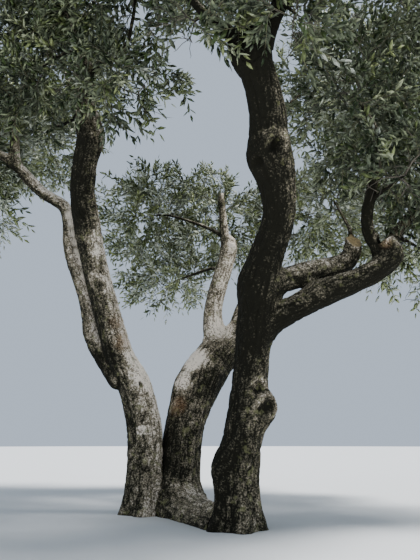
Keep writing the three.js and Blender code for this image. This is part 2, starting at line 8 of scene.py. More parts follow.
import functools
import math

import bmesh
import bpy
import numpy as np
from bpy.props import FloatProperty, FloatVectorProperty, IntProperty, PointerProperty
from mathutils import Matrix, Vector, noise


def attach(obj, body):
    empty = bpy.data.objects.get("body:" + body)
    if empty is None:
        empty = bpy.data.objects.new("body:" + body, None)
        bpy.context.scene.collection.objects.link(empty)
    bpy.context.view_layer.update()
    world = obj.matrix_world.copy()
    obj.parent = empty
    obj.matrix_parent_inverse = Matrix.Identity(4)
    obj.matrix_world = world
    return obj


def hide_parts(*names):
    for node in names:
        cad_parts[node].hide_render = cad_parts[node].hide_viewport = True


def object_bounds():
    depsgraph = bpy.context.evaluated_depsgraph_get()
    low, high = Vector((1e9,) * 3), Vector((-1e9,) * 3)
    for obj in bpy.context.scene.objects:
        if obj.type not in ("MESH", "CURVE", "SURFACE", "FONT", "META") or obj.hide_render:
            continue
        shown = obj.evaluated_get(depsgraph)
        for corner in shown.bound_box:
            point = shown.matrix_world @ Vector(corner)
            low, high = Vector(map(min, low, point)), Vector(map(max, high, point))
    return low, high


bl_info = {
    "name": "Olive Tree",
    "version": (1, 0, 0),
    "blender": (4, 5, 0),
    "location": "3D View > Sidebar > Olive Tree",
    "description": "Dresses the frame of an olive tree with bark, twigs and leaves",
    "category": "Object",
}

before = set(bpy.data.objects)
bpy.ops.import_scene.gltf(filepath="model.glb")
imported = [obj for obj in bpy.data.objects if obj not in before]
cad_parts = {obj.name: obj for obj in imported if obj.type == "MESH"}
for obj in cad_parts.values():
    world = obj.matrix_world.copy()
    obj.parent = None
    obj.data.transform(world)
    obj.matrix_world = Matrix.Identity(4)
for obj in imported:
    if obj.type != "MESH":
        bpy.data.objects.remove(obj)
CAD_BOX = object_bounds()

BODY = "root"
BARK_SLOT = "bark"
LEAF_SLOT = "leaves"
UP = np.array((0.0, 0.0, 1.0))

# Each limb is a smooth path with a girth (its radius) at each point. A knot is a swelling round a point of
# its bark: its place, its reach and its height. A flare is a root flare's spread, height, lobes and turn. A
# scar is a healed ring round a hollow: its place, its ring's radius and height and the hollow's depth. A cut
# is the way that a sawn tip faces. How pale the bark is stands partly for how bleached it is and partly for
# painted light and shade: limbs that stand in shade get darker bark. Snug is how far the collar reaches
# where the limb meets another, as a share of the usual.
LIMBS = {
    "right_trunk": {
        "path": [(-0.005, 0, -0.06), (0.030, 0, 0.370), (0.094, -0.060, 0.870), (0.135, -0.270, 1.240),
                 (0.207, -0.430, 1.490), (0.152, -0.577, 1.740), (0.125, -0.700, 1.920),
                 (0.050, -0.838, 2.150)],
        "girth": [0.097, 0.097, 0.092, 0.092, 0.080, 0.092, 0.086, 0.074],
        "flare": (0.062, 0.130, 5, 0.4),
        "knots": [((0.185, -0.040, 0.560), 0.085, 0.062), ((-0.085, -0.020, 0.290), 0.095, 0.052),
                  ((0.235, -0.560, 1.690), 0.080, 0.016), ((-0.030, -0.824, 2.078), 0.075, 0.034),
                  ((0.055, -0.576, 1.696), 0.095, 0.028), ((0.006, -0.244, 1.184), 0.100, 0.028)],
        "weather_and_painted_light": 0.22,
        "scars": [((0.168, -0.671, 1.712), 0.060, 0.030, 0.036),
                  ((0.080, -0.610, 1.655), 0.040, 0.014, 0.022),
                  ((0.145, -0.099, 0.565), 0.060, 0.020, 0.014),
                  ((0.125, -0.100, 0.660), 0.045, 0.012, 0.030)],
    },
    "left_trunk": {
        "path": [(-0.508, 0.600, -0.06), (-0.525, 0.600, 0.420), (-0.560, 0.576, 0.600),
                 (-0.607, 0.546, 0.760), (-0.679, 0.515, 0.900), (-0.739, 0.467, 1.080),
                 (-0.806, 0.396, 1.317), (-0.860, 0.321, 1.540), (-0.891, 0.255, 1.712),
                 (-0.915, 0.189, 1.876), (-0.892, 0.119, 2.042), (-0.855, 0.068, 2.156),
                 (-0.853, 0.024, 2.252), (-0.871, -0.030, 2.375), (-0.868, -0.114, 2.545)],
        "girth": [0.104, 0.106, 0.103, 0.100, 0.088, 0.083, 0.083, 0.077, 0.081, 0.077, 0.075, 0.083,
                  0.072, 0.052, 0.045],
        "flare": (0.056, 0.120, 5, 2.1),
        "knots": [((-0.770, 0.050, 2.200), 0.060, 0.014)],
        "weather_and_painted_light": 0.58,
        "scars": [((-0.542, 0.467, 0.747), 0.030, 0.008, 0.014),
                  ((-0.803, 0.305, 1.336), 0.055, 0.013, 0.003),
                  ((-0.541, 0.489, 0.478), 0.022, 0.007, 0.004)],
    },
    "middle_trunk": {
        "path": [(-0.337, 0.632, -0.06), (-0.300, 0.690, 0.430), (-0.240, 0.765, 0.690),
                 (-0.150, 0.838, 0.885), (0.020, 0.930, 1.070)],
        "girth": [0.122, 0.124, 0.140, 0.143, 0.092],
        "flare": (0.048, 0.120, 4, 1.2),
        "knots": [((-0.330, 0.700, 0.780), 0.090, 0.022)],
        "weather_and_painted_light": 0.25,
        "scars": [((-0.340, 0.700, 0.900), 0.025, 0.010, 0.006)],
    },
    "root_crown": {
        "path": [(-0.020, 0.020, -0.025), (-0.150, 0.260, -0.045), (-0.300, 0.600, -0.025)],
        "girth": [0.150, 0.150, 0.170],
        "weather_and_painted_light": 0.3,
    },
    "left_back_bough": {
        "path": [(-0.700, 0.535, 0.780), (-0.865, 0.548, 1.030), (-0.903, 0.529, 1.207),
                 (-0.958, 0.509, 1.386), (-1.014, 0.491, 1.543), (-1.039, 0.480, 1.676),
                 (-1.056, 0.462, 1.794), (-1.082, 0.445, 1.889), (-1.147, 0.433, 1.934),
                 (-1.223, 0.411, 1.974), (-1.297, 0.376, 2.043), (-1.393, 0.323, 2.138),
                 (-1.482, 0.287, 2.190), (-1.579, 0.262, 2.223)],
        "girth": [0.066, 0.055, 0.047, 0.044, 0.047, 0.047, 0.036, 0.038, 0.036, 0.036, 0.039, 0.036,
                  0.029, 0.026],
        "weather_and_painted_light": 0.72,
        "scars": [((-0.988, 0.451, 1.536), 0.022, 0.006, 0.014)],
        "snug": 0.15,
    },
    "left_back_upright": {
        "path": [(-1.393, 0.320, 2.145), (-1.392, 0.274, 2.273), (-1.399, 0.234, 2.379)],
        "girth": [0.032, 0.031, 0.026],
        "weather_and_painted_light": 0.6,
    },
    "left_rear_bough": {
        "path": [(-0.885, 0.150, 1.960), (-0.960, 0.330, 2.250), (-1.110, 0.700, 2.750),
                 (-1.300, 1.130, 3.280)],
        "girth": [0.040, 0.034, 0.029, 0.023],
        "weather_and_painted_light": 0.4,
    },
    "left_top_bough": {
        "path": [(-0.867, -0.110, 2.500), (-0.909, -0.153, 2.640), (-1.013, -0.244, 2.912),
                 (-1.090, -0.300, 3.200)],
        "girth": [0.034, 0.026, 0.022, 0.018],
        "weather_and_painted_light": 0.3,
    },
    "left_inner_bough": {
        "path": [(-0.862, -0.100, 2.480), (-0.777, -0.143, 2.555), (-0.680, -0.169, 2.575),
                 (-0.607, -0.211, 2.647), (-0.560, -0.290, 2.850)],
        "girth": [0.022, 0.014, 0.012, 0.011, 0.010],
        "weather_and_painted_light": 0.35,
    },
    "middle_bough": {
        "path": [(-0.070, 0.870, 1.010), (-0.102, 0.960, 1.180), (-0.105, 0.990, 1.330),
                 (-0.070, 1.010, 1.500), (-0.015, 1.032, 1.700), (0.018, 1.040, 1.860)],
        "girth": [0.092, 0.078, 0.066, 0.062, 0.061, 0.052],
        "knots": [((0.050, 1.020, 1.800), 0.060, 0.012)],
        "weather_and_painted_light": 0.72,
        "scars": [((0.034, 0.981, 1.809), 0.032, 0.006, 0.008),
                  ((-0.165, 0.877, 1.086), 0.025, 0.010, 0)],
    },
    "middle_shoot": {
        "path": [(0, 1.038, 1.740), (-0.022, 1.055, 1.960), (-0.038, 1.072, 2.190)],
        "girth": [0.038, 0.033, 0.027],
        "weather_and_painted_light": 0.55,
    },
    "back_bough": {
        "path": [(0.025, 0.925, 1.060), (0.140, 1.080, 1.380), (0.300, 1.230, 1.800),
                 (0.480, 1.350, 2.110)],
        "girth": [0.074, 0.066, 0.052, 0.038],
        "weather_and_painted_light": 0.45,
    },
    "back_upper_bough": {
        "path": [(0.290, 1.222, 1.770), (0.430, 1.290, 2.400), (0.420, 1.280, 3.000),
                 (0.330, 1.200, 3.500)],
        "girth": [0.043, 0.037, 0.031, 0.024],
        "weather_and_painted_light": 0.4,
    },
    "upper_right_bough": {
        "path": [(0.130, -0.215, 1.130), (0.222, -0.212, 1.200), (0.412, -0.165, 1.268),
                 (0.560, -0.130, 1.312), (0.622, -0.128, 1.372), (0.636, -0.140, 1.462)],
        "girth": [0.068, 0.063, 0.060, 0.055, 0.048, 0.038],
        "knots": [((0.634, -0.150, 1.440), 0.060, 0.008)],
        "scars": [((0.634, -0.146, 1.455), 0.020, 0, 0.014)],
        "cut": (0.30, -0.80, 0.50),
        "weather_and_painted_light": 0.34,
    },
    "lower_right_bough": {
        "path": [(0.110, -0.110, 0.950), (0.203, -0.154, 1.012), (0.420, -0.225, 1.118),
                 (0.640, -0.262, 1.212), (0.745, -0.280, 1.272), (0.797, -0.290, 1.325),
                 (0.765, -0.290, 1.395)],
        "girth": [0.070, 0.065, 0.063, 0.060, 0.057, 0.052, 0.040],
        "knots": [((0.420, -0.240, 1.190), 0.090, 0.020), ((0.742, -0.310, 1.385), 0.040, 0.018)],
        "scars": [((0.740, -0.335, 1.390), 0.024, 0.010, 0.012)],
        "weather_and_painted_light": 0.22,
    },
    "right_upright_bough": {
        "path": [(0.742, -0.262, 1.300), (0.720, -0.262, 1.375), (0.684, -0.272, 1.440),
                 (0.676, -0.294, 1.530), (0.693, -0.327, 1.624), (0.718, -0.379, 1.772),
                 (0.712, -0.439, 1.909)],
        "girth": [0.040, 0.037, 0.033, 0.032, 0.029, 0.026, 0.022],
        "weather_and_painted_light": 0.2,
    },
    "right_outer_bough": {
        "path": [(0.785, -0.280, 1.325), (0.850, -0.110, 1.450), (1.060, 0.010, 1.700),
                 (1.400, -0.050, 2.050)],
        "girth": [0.040, 0.036, 0.031, 0.024],
        "weather_and_painted_light": 0.2,
    },
    "top_left_bough": {
        "path": [(0.040, -0.835, 2.080), (-0.031, -0.854, 2.165), (-0.107, -0.863, 2.235),
                 (-0.216, -0.882, 2.340), (-0.400, -0.950, 2.600)],
        "girth": [0.043, 0.034, 0.027, 0.018, 0.014],
        "weather_and_painted_light": 0.2,
    },
    "top_middle_bough": {
        "path": [(0.055, -0.820, 2.080), (0.070, -0.800, 2.300), (0.020, -0.650, 2.700),
                 (-0.060, -0.430, 3.300), (-0.060, -0.260, 3.900)],
        "girth": [0.064, 0.056, 0.046, 0.037, 0.027],
        "weather_and_painted_light": 0.2,
    },
    "top_right_bough": {
        "path": [(0.078, -0.830, 2.080), (0.139, -0.868, 2.213), (0.190, -0.915, 2.305),
                 (0.340, -1.040, 2.560)],
        "girth": [0.048, 0.043, 0.037, 0.028],
        "weather_and_painted_light": 0.2,
    },
}

# The limbs that one bark covers, and whose stems it runs on into.
BARKS = {
    "bark_right": ["right_trunk", "upper_right_bough", "lower_right_bough", "right_upright_bough",
                   "right_outer_bough", "top_left_bough", "top_middle_bough", "top_right_bough"],
    "bark_left": ["left_trunk", "left_back_bough", "left_back_upright", "left_rear_bough", "left_top_bough",
                  "left_inner_bough"],
    "bark_middle": ["middle_trunk", "root_crown", "middle_bough", "middle_shoot", "back_bough",
                    "back_upper_bough"],
}

# Each mass of leaves: the limb that its stem leaves, the share of the limb's path where it does (1 is the
# tip), the middle and the radii of its space, and how far its sprays droop.
MASSES = {
    "left_low": ("left_back_bough", 1, (-1.79, 0.33, 2.40), (0.60, 0.56, 0.42), 0.4),
    "left_drooping": ("left_back_bough", 0.93, (-1.66, 0.50, 1.85), (0.33, 0.31, 0.28), 0.8),
    "left_rim": ("left_back_upright", 1, (-1.50, 0.13, 2.84), (0.56, 0.50, 0.44), 0.3),
    "left_high": ("left_top_bough", 1, (-1.15, -0.35, 3.56), (0.71, 0.67, 0.60), 0.2),
    "left_centre": ("left_top_bough", 0.3, (-1.19, 0.02, 2.64), (0.37, 0.35, 0.37), 0.4),
    "left_inner": ("left_inner_bough", 1, (-0.64, -0.32, 2.92), (0.46, 0.44, 0.42), 0.4),
    "left_hanging": ("left_trunk", 0.93, (-0.63, -0.22, 2.34), (0.40, 0.30, 0.31), 0.6),
    "left_rear": ("left_rear_bough", 0.62, (-1.69, 1.26, 2.80), (0.60, 0.62, 0.45), 0.4),
    "left_rear_high": ("left_rear_bough", 1, (-1.48, 1.40, 3.70), (0.71, 0.68, 0.62), 0.2),
    "back_left": ("middle_shoot", 0.35, (-0.67, 1.57, 2.29), (0.48, 0.44, 0.48), 0.4),
    "back_low": ("middle_bough", 0.72, (-0.50, 1.60, 1.66), (0.41, 0.36, 0.24), 0.6),
    "back_middle": ("middle_shoot", 1, (-0.04, 1.66, 2.28), (0.45, 0.42, 0.52), 0.3),
    "back_right": ("back_bough", 1, (0.72, 1.42, 2.25), (0.54, 0.50, 0.46), 0.4),
    "back_right_high": ("back_upper_bough", 0.72, (1.09, 1.37, 3.45), (0.72, 0.68, 0.64), 0.3),
    "back_top": ("back_upper_bough", 1, (-0.02, 1.18, 4.56), (0.76, 0.70, 0.56), 0.1),
    "right_low": ("right_outer_bough", 0.62, (1.10, -0.20, 2.00), (0.50, 0.50, 0.45), 0.5),
    "right_drooping": ("right_outer_bough", 0.4, (1.12, 0.00, 1.41), (0.45, 0.40, 0.31), 0.8),
    "right_front": ("right_upright_bough", 0.6, (0.82, -0.50, 1.66), (0.32, 0.24, 0.26), 0.8),
    "right_inner": ("right_upright_bough", 1, (0.60, -0.43, 2.13), (0.40, 0.36, 0.42), 0.4),
    "right_middle": ("upper_right_bough", 0.9, (0.60, 0.11, 1.80), (0.33, 0.30, 0.26), 0.5),
    "right_rear": ("right_outer_bough", 0.5, (1.40, 1.00, 2.10), (0.55, 0.52, 0.46), 0.4),
    "right_far": ("right_outer_bough", 0.8, (1.20, 0.50, 2.72), (0.62, 0.58, 0.48), 0.4),
    "right_high": ("top_right_bough", 0.85, (1.04, -0.78, 2.88), (0.69, 0.65, 0.59), 0.3),
    "right_outer": ("right_outer_bough", 1, (1.92, -0.04, 2.54), (0.64, 0.64, 0.56), 0.4),
    "front_right": ("top_right_bough", 1, (0.62, -1.60, 3.12), (0.69, 0.62, 0.59), 0.3),
    "front_left": ("top_left_bough", 1, (-0.58, -1.42, 3.12), (0.71, 0.64, 0.59), 0.3),
    "top_front": ("top_middle_bough", 0.5, (0.12, -1.00, 3.96), (0.64, 0.60, 0.52), 0.2),
    "top_middle": ("top_middle_bough", 0.72, (0.18, 0.44, 4.08), (0.60, 0.56, 0.48), 0.2),
    "top_right": ("top_middle_bough", 0.62, (0.98, -0.24, 3.88), (0.74, 0.70, 0.62), 0.2),
    "top_left": ("top_middle_bough", 0.8, (-0.82, -0.33, 4.33), (0.69, 0.67, 0.54), 0.1),
    "crown_top": ("top_middle_bough", 1, (0.06, -0.22, 4.78), (0.72, 0.70, 0.52), 0),
    "fork": ("top_left_bough", 0.6, (-0.20, -0.88, 2.22), (0.27, 0.20, 0.19), 0.5),
    "fork_right": ("top_right_bough", 0.6, (0.24, -1.00, 2.15), (0.32, 0.20, 0.22), 0.4),
}

# How a stem leaves its limb, as in the frame.
STEM_SEED = 5
STEM_TIP_RADIUS = 0.006
STEM_TAPER = 0.8  # power by which a stem's girth falls towards its tip
STEM_WANDER = 0.02  # how far a stem strays from its curve, as a share of its reach
STEM_BEND = 0.4  # share of its reach over which a stem holds the direction in which it leaves its limb
STEM_LEAN = 0.5  # how far a stem on a limb's side leans along that limb
STEM_POINTS = 7
TIP_STEM_GIRTH = 0.9  # the foot of a stem on a limb's tip, as a share of the limb's girth
SIDE_STEM_GIRTH = 0.7  # the widest foot of a stem on a limb's side, as the same share
SIDE_STEM_RADIUS = 0.010  # the foot of a side stem without reach
SIDE_STEM_THICKENING = 0.010  # and how much wider it is for each metre of reach

# How twigs spread through a mass, by the frame's rule with many more tips.
TWIG_SEED = 3000
SEED_STEP = 17  # how much further along the evenly spread numbers each mass begins
TIP_INNER = 0.22  # the shell of a mass that its twig tips fill, as shares of its radii
TIP_OUTER = 0.97
GAP_SIZE = 0.17  # how large the gaps between a mass's twigs are
GAP_LEVEL = -0.13  # how much they take away: none of the mass at -1 and all of it at 1
STEM_JOINTS = (0.35, 0.5, 0.6, 0.7, 0.8, 0.9, 0.98)  # shares of a stem where a twig may spring
TWIG_JOINTS = (0.45, 0.8)  # shares of a twig where it bends and where another may spring
DETOUR_WEIGHT = 0.35  # how much a twig minds the way back along other twigs to the stem
JOINT_SHARE = 0.7  # the most that a twig's girth can be of the girth that carries it
TWIG_TIP_RADIUS = 0.0017
TWIG_THICKENING = 0.42  # power by which a twig thickens with the number of twigs it carries
TWIG_TAPER = 0.8  # how much of its further girth a twig loses by its tip
TWIG_BEND = 0.035  # how far a twig strays from a straight line, as a share of its length
LIMB_CLEARANCE = 0.012  # clear space between the bark and the twigs and leaves that grow past it

# Where side sprays leave a twig: between which two of its points, and how far along.
SIDE_SPRAYS = ((1, 2, 0.2), (1, 2, 0.8), (2, 3, 0.3), (2, 3, 0.7))

# How sprays, the young shoots that carry the leaves, leave the twigs.
SPRAY_SEED = 1000
END_WANDER = 0.3  # how far the spray at a twig's end strays from its direction
SIDE_LEAN = 0.6  # how far a side spray leans along its twig
OUTWARD_PULL = 0.45  # how far sprays turn to the outside of their mass
UPWARD_PULL = 0.25  # how far they turn up
DROOP_PULL = 0.6  # and how far down, in a mass with a droop of 1
SPRAY_LENGTHS = (0.7, 1.3)  # shortest and longest, by the mean
DROOP_SHARES = (0.5, 1.1)  # least and most, by the mass's droop
DROOP_WANDER = 0.12
DROOP_LIMITS = (-0.2, 1)
SPRAY_OUTER = (0.92, 1.20)  # how far out sprays may end, as shares of a mass's radii
SHOOT_POINTS = (0, 0.5, 1)  # shares of a spray where its shoot has a ring, or its tip
SHOOT_RADII = (0.0016, 0.0012)

# How leaves stand on a spray.
LEAF_SEED = 2000
FIRST_PAIR = 0.8  # where the first leaves stand, in steps from one pair to the next
PAIR_SHIFT = 0.2  # how far a pair strays from its place, in the same steps
SPREAD_SHARES = (0.65, 1.3)  # least and most of the usual angle between a leaf and its shoot
END_SPREAD = 0.2  # how much of that angle the leaf at the end has
LEAF_WANDER = 0.1
FACE_ALONG = 0.5  # how far a leaf's upper face turns along its shoot
FACE_UPWARD = 0.5
FACE_WANDER = 0.7
LEAF_LENGTHS = (0.72, 1.18)  # shortest and longest, by the mean
END_SHORTENING = 0.25  # how much shorter the last leaves are than the first
LEAF_UP = UP + 0.01  # nearly upward, so that an upright spray has a side too
SHAFT_UP = UP + (0.013, 0.007, 0)
SHAFT_SIDES = 3

# A leaf's outline from its stalk along one margin to its tip, and back to a point of the other margin:
# shares of its length, and of half its width to the side. The margins curl up by a share of its length, so
# that the line from stalk to tip is its keel. The upper side's faces come first, then as many under it.
LEAF_ALONG = np.array((0, 0.28, 0.70, 1, 0.48))
LEAF_ASIDE = np.array((0, 1, 0.80, 0, -1.1))
LEAF_CURL = np.array((0, 1, 1, 0, 1))
LEAF_FACES = np.array(((0, 1, 4), (1, 2, 4), (2, 3, 4), (0, 2, 1), (0, 3, 2), (0, 4, 3)))

# How limbs are measured.
TINY = 1e-12  # the least length that a direction is divided by
STEEPEST = 0.9  # how far along X a path may start for its first normal to be taken from X
PATH_SAMPLES = 60  # points by which a limb's length is found
LIMB_STEP = 0.06  # length of the straight stretches by which a limb is measured
LIMB_STEPS = 4  # the fewest of them
NEAR_BARK = 0.14  # how far from a limb its swellings and the clear air round it are worked out
FAR = 10.0
CHUNK = 20000  # points that are measured at a time

# How the bark is made: a tube round each limb, joined, fitted to the limbs' girths and given relief.
TUBE_SIDES = 16
THIN_TUBE = 0.009  # the least radius of a tube
FIT_STEPS = 3
FIT_MOST = 0.04  # the furthest that one step moves the bark
ON_GROUND = 0.0005
BARK_FACES = 196000
FLARE_LEVEL = 0.75  # mean share of a root flare's spread
FLARE_SWING = 0.4  # how much more of it the lobes have, and how much less the hollows between them
FLARE_FLOOR = -0.02  # level below which a flare grows no wider
FLUTE_WIDTH = 0.07
FLUTE_LENGTH = 0.45
THICK_BARK = 0.085  # girth from which bark has its full relief
SCALE_DEPTH = 0.002
FISSURE_WIDTH = 0.11  # height of the noise at the edges of fissures and breaks, which run where it is 0
BREAK_DEPTH = 0.7  # how deep breaks are, as a share of the fissures
CREASE_OF_FISSURES = 0.5  # painted shade in fissures, as a share of the painted shade where two limbs touch
SCAR_RIM = 0.35  # how wide a scar's rim and its hollow are, by its ring's radius
SCAR_HOLLOW = 0.6
SCAR_HOOD = 0.4  # how much higher the rim is over the hollow than beside it, and how much lower under it
SCAR_WARP = 0.35  # how far the rim strays from a round ring, and how many waves it has
SCAR_WAVES = 1.7
SAW_EDGE = 0.005
SAW_REACH = 2.3  # how far from its tip a saw cut can shape a limb, by the tip's girth
SEAM = 0.010  # how far the painted shade between two limbs that touch reaches over their bark
SUNWARD = np.array((0.42, -0.12, 0.88))
PAINTED_SUNLIGHT = 0.7  # painted light and shade: how much paler bark is painted where it faces the key light, darker away from it
RIM_PAINTED_HIGHLIGHT = 0.5  # painted highlight: how much paler a scar's ring is painted, as a lit ledge
STEM_WEATHER = 0.35

# The patterns of the bark's relief: width and length by those of a bark scale, and how far each is shifted.
FISSURES = (1, 1, 0)
BREAKS = (1.3, 0.4, 7.3)
SCALES = (0.6, 0.25, 3.1)

# Places where the bark is paler (pale bark and painted light), darker (painted shade), rusty or gone, each
# with its reach and how much it is so.
SPOT_EDGE = 4  # how sharply they end
BARK_SPOTS = {
    # Pale bark, and painted light: the middle trunk's sunlit face and painted highlights on scar ledges.
    "pale": [((-0.248, 0.725, 0.935), 0.10, 1.00), ((-0.330, 0.640, 0.800), 0.09, 0.80),
             ((-0.390, 0.640, 0.650), 0.06, 0.45), ((-0.827, 0.251, 1.529), 0.045, 0.30),
             ((-0.835, 0.225, 1.600), 0.04, 0.30), ((-0.541, 0.489, 0.478), 0.028, 0.50),
             ((0.205, -0.683, 1.777), 0.025, 0.60), ((0.107, -0.702, 1.771), 0.022, 0.50),
             ((0.034, 0.981, 1.809), 0.030, 0.50), ((-0.620, 0.440, 0.850), 0.20, 0.20),
             ((-0.100, 0.880, 1.150), 0.12, 0.15), ((0.742, -0.325, 1.395), 0.040, 0.70),
             ((0.630, -0.170, 1.430), 0.050, 0.40)],
    # Painted shade on the shaded sides of the trunks and in crotches under the crown.
    "painted_shade": [((-0.790, 0.480, 0.880), 0.12, 0.50), ((-0.970, 0.150, 1.850), 0.22, 0.45),
             ((-0.920, 0.050, 2.060), 0.16, 0.40), ((0.060, -0.840, 2.150), 0.17, 0.55),
             ((0.030, -0.080, 0.500), 0.30, 0.06), ((-0.260, 0.560, 0.300), 0.30, 0.15),
             ((-0.090, 0.680, 0.760), 0.13, 0.35), ((0.000, 0.750, 0.970), 0.12, 0.35)],
    "rust": [((-0.337, 0.621, 0.632), 0.06, 0.50), ((-0.655, 0.428, 1.003), 0.06, 0.45),
             ((-0.700, 0.400, 1.120), 0.05, 0.30), ((0.750, -0.330, 1.375), 0.030, 0.40)],
    "bare": [((-1.040, 0.420, 1.830), 0.030, 1), ((-1.025, 0.425, 1.770), 0.028, 1),
             ((-1.015, 0.435, 1.710), 0.026, 1), ((-1.000, 0.450, 1.650), 0.024, 1),
             ((-0.990, 0.455, 1.590), 0.020, 1)],
}

# The noise patterns of the bark's finish, each with its scale, its detail and its roughness. Streaks run
# along the grain and are longer than they are wide.
NOISE_MIDDLE = 0.5
FLECKS = (115, 3, 0.65)
BLOTCHES = (14, 4, 0.6)
LICHEN_DOTS = (30, 3, 0.6)
WOOD_RINGS = (70, 3, 0.6)
STREAKS = (1, 4, 0.6)
STREAK_SCALE = (70, 70, 16)

# How much the patterns change how pale the bark is, and how much they raise it.
FLECK_CONTRAST = 2.3
STREAK_CONTRAST = 0.7
BLOTCH_CONTRAST = 0.8
CREASE_SHADE = 0.8
FLECK_HEIGHT = 0.6
STREAK_HEIGHT = 0.6
CREASE_HEIGHT = 0.5
BUMP_STRENGTH = 0.9
BUMP_DISTANCE = 0.007
BARK_SHEEN = 0.12
LICHEN_SHARE = 0.5
RING_SHADE = 0.6  # how dark a ring of sawn wood is, as a share of the wood's colour

# Where each tone or pattern of the bark begins, and where it is full.
TONES = {"brown": (0, 0.38), "grey": (0.3, 0.72), "pale": (0.66, 1.1)}
SPANS = {
    "lichen dots": (0.55, 0.64),
    "lichen blotches": (0.4, 0.55),
    "lichen weather": (0.1, 0.3),
    "rust flecks": (0.36, 0.55),
    "bare streaks": (0.3, 0.5),
    "wood rings": (0.35, 0.65),
    "wood creases": (0.3, 0.8),
}

ROUGHNESS = {"bark": 0.95, "twig": 0.85, "shoot": 0.7, "leaf": 0.42, "underleaf": 0.7, "floor": 0.9}
TWIG_TINTS = {"brown": 1.0, "dark": 0.5, "grey": 1.5}  # how light twigs and shoots are, by their colour

# Each piece of leaves: how large its leaves and how full its masses are, as shares of the settings, and its
# masses.
LEAF_PIECES = {
    "foliage_left": (0.98, 0.80, ["left_low", "left_drooping", "left_rim", "left_high", "left_centre",
                                  "left_inner", "left_hanging"]),
    "foliage_right": (0.88, 0.72, ["right_low", "right_drooping", "right_front", "right_inner",
                                   "right_middle", "right_outer"]),
    "foliage_front": (0.90, 0.68, ["right_high", "front_right", "front_left", "fork", "fork_right"]),
    "foliage_rear_left": (0.95, 0.72, ["left_rear", "left_rear_high", "back_left", "back_low"]),
    "foliage_rear_right": (0.95, 0.80, ["back_middle", "back_right", "back_right_high", "back_top"]),
    "foliage_far_right": (0.95, 0.66, ["right_rear", "right_far"]),
    "foliage_top_front": (1.10, 0.60, ["top_front", "top_right", "top_left"]),
    "foliage_top_rear": (1.10, 0.75, ["top_middle", "crown_top"]),
}

# How much fuller some masses are than the others of their piece.
FULLNESS = {"fork": 2.6, "fork_right": 3.2, "right_front": 1.7, "right_drooping": 1.5, "back_middle": 1.25,
            "back_low": 1.5, "back_left": 1.2}

# Tints that a spray's leaves can have, each with its colour above and below. The lighter tints are partly
# painted sunlight and painted highlights.
TINTS = {
    "deep": ((0.028, 0.048, 0.014), (0.150, 0.178, 0.105)),
    "green": ((0.068, 0.106, 0.028), (0.200, 0.238, 0.134)),
    "olive": ((0.165, 0.205, 0.068), (0.320, 0.365, 0.200)),
    "young": ((0.370, 0.425, 0.170), (0.500, 0.545, 0.330)),
    "silver_and_sunlit": ((0.620, 0.670, 0.500), (0.760, 0.800, 0.660)),
}

# The share of the sprays that has each tint, in masses that are in the sun, half in it and out of it:
# painted light and shade, with lighter tints in sunlit masses and darker ones in shaded masses.
TINT_SHARES = {
    "sun": (0, 0.08, 0.26, 0.34, 0.32),
    "half": (0.29, 0.31, 0.22, 0.11, 0.07),
    "shade": (0.42, 0.33, 0.17, 0.05, 0.03),
}
IN_SUN = {"back_left", "back_low", "back_middle", "back_right", "left_rear", "left_drooping", "right_middle",
          "right_drooping", "right_rear", "right_far"}
IN_SHADE = {"fork", "fork_right", "front_left", "front_right", "right_front", "right_high", "right_inner",
            "right_low", "right_outer"}

# The stage's lights: how each is turned and how wide it is, in degrees, and its share of the key's strength.
LIGHTS = {"key": ((12, 24, 0), 12, 1), "fill": ((60, 0, -35), 60, 0.06)}
FLOOR_SIDES = 96
PICTURE_HEIGHT = 36  # of the camera's picture, in millimetres


def length_setting(name, description, default, **limits):
    return FloatProperty(name=name, description=description, default=default, unit="LENGTH", **limits)


def share_setting(name, description, default, **limits):
    return FloatProperty(name=name, description=description, default=default, subtype="FACTOR", **limits)


def colour_setting(name, description, default):
    return FloatVectorProperty(name=name, description=description, default=default, subtype="COLOR", size=3,
                               min=0, max=1)


class OliveBarkSettings(bpy.types.PropertyGroup):
    voxel: length_setting("Grain", "Size of the bark mesh's faces", 0.0062, min=0.003)
    collar: FloatProperty(name="Collar", description="How softly a bough runs into its trunk, by its girth",
                          default=0.9, min=0.01)
    plate_width: length_setting("Plate width", "Width of a bark scale on a trunk", 0.030)
    plate_length: length_setting("Plate length", "Length of a bark scale on a trunk", 0.150)
    fissure_depth: length_setting("Fissure depth", "Depth of the fissures on a thick trunk", 0.006)
    flute_depth: length_setting("Flute depth", "Depth of the long hollows down a trunk", 0.012)
    # The darkest tone, which dark bark and painted shade both reach.
    dark: colour_setting("Damp bark", "Colour of shaded bark, fissures and pits", (0.010, 0.0095, 0.006))
    brown: colour_setting("Bark", "Colour of the bark", (0.062, 0.056, 0.038))
    grey: colour_setting("Weathered bark", "Colour of weathered bark", (0.25, 0.21, 0.148))
    pale: colour_setting("Pale bark", "Colour of smooth pale bark", (0.84, 0.75, 0.64))
    lichen: colour_setting("Lichen", "Colour of the lichen spots", (0.20, 0.20, 0.09))
    rust: colour_setting("Rust", "Colour of the orange-brown inner bark", (0.28, 0.16, 0.08))
    wood: colour_setting("Cut wood", "Colour of a pruned stub's cut face", (0.66, 0.49, 0.25))


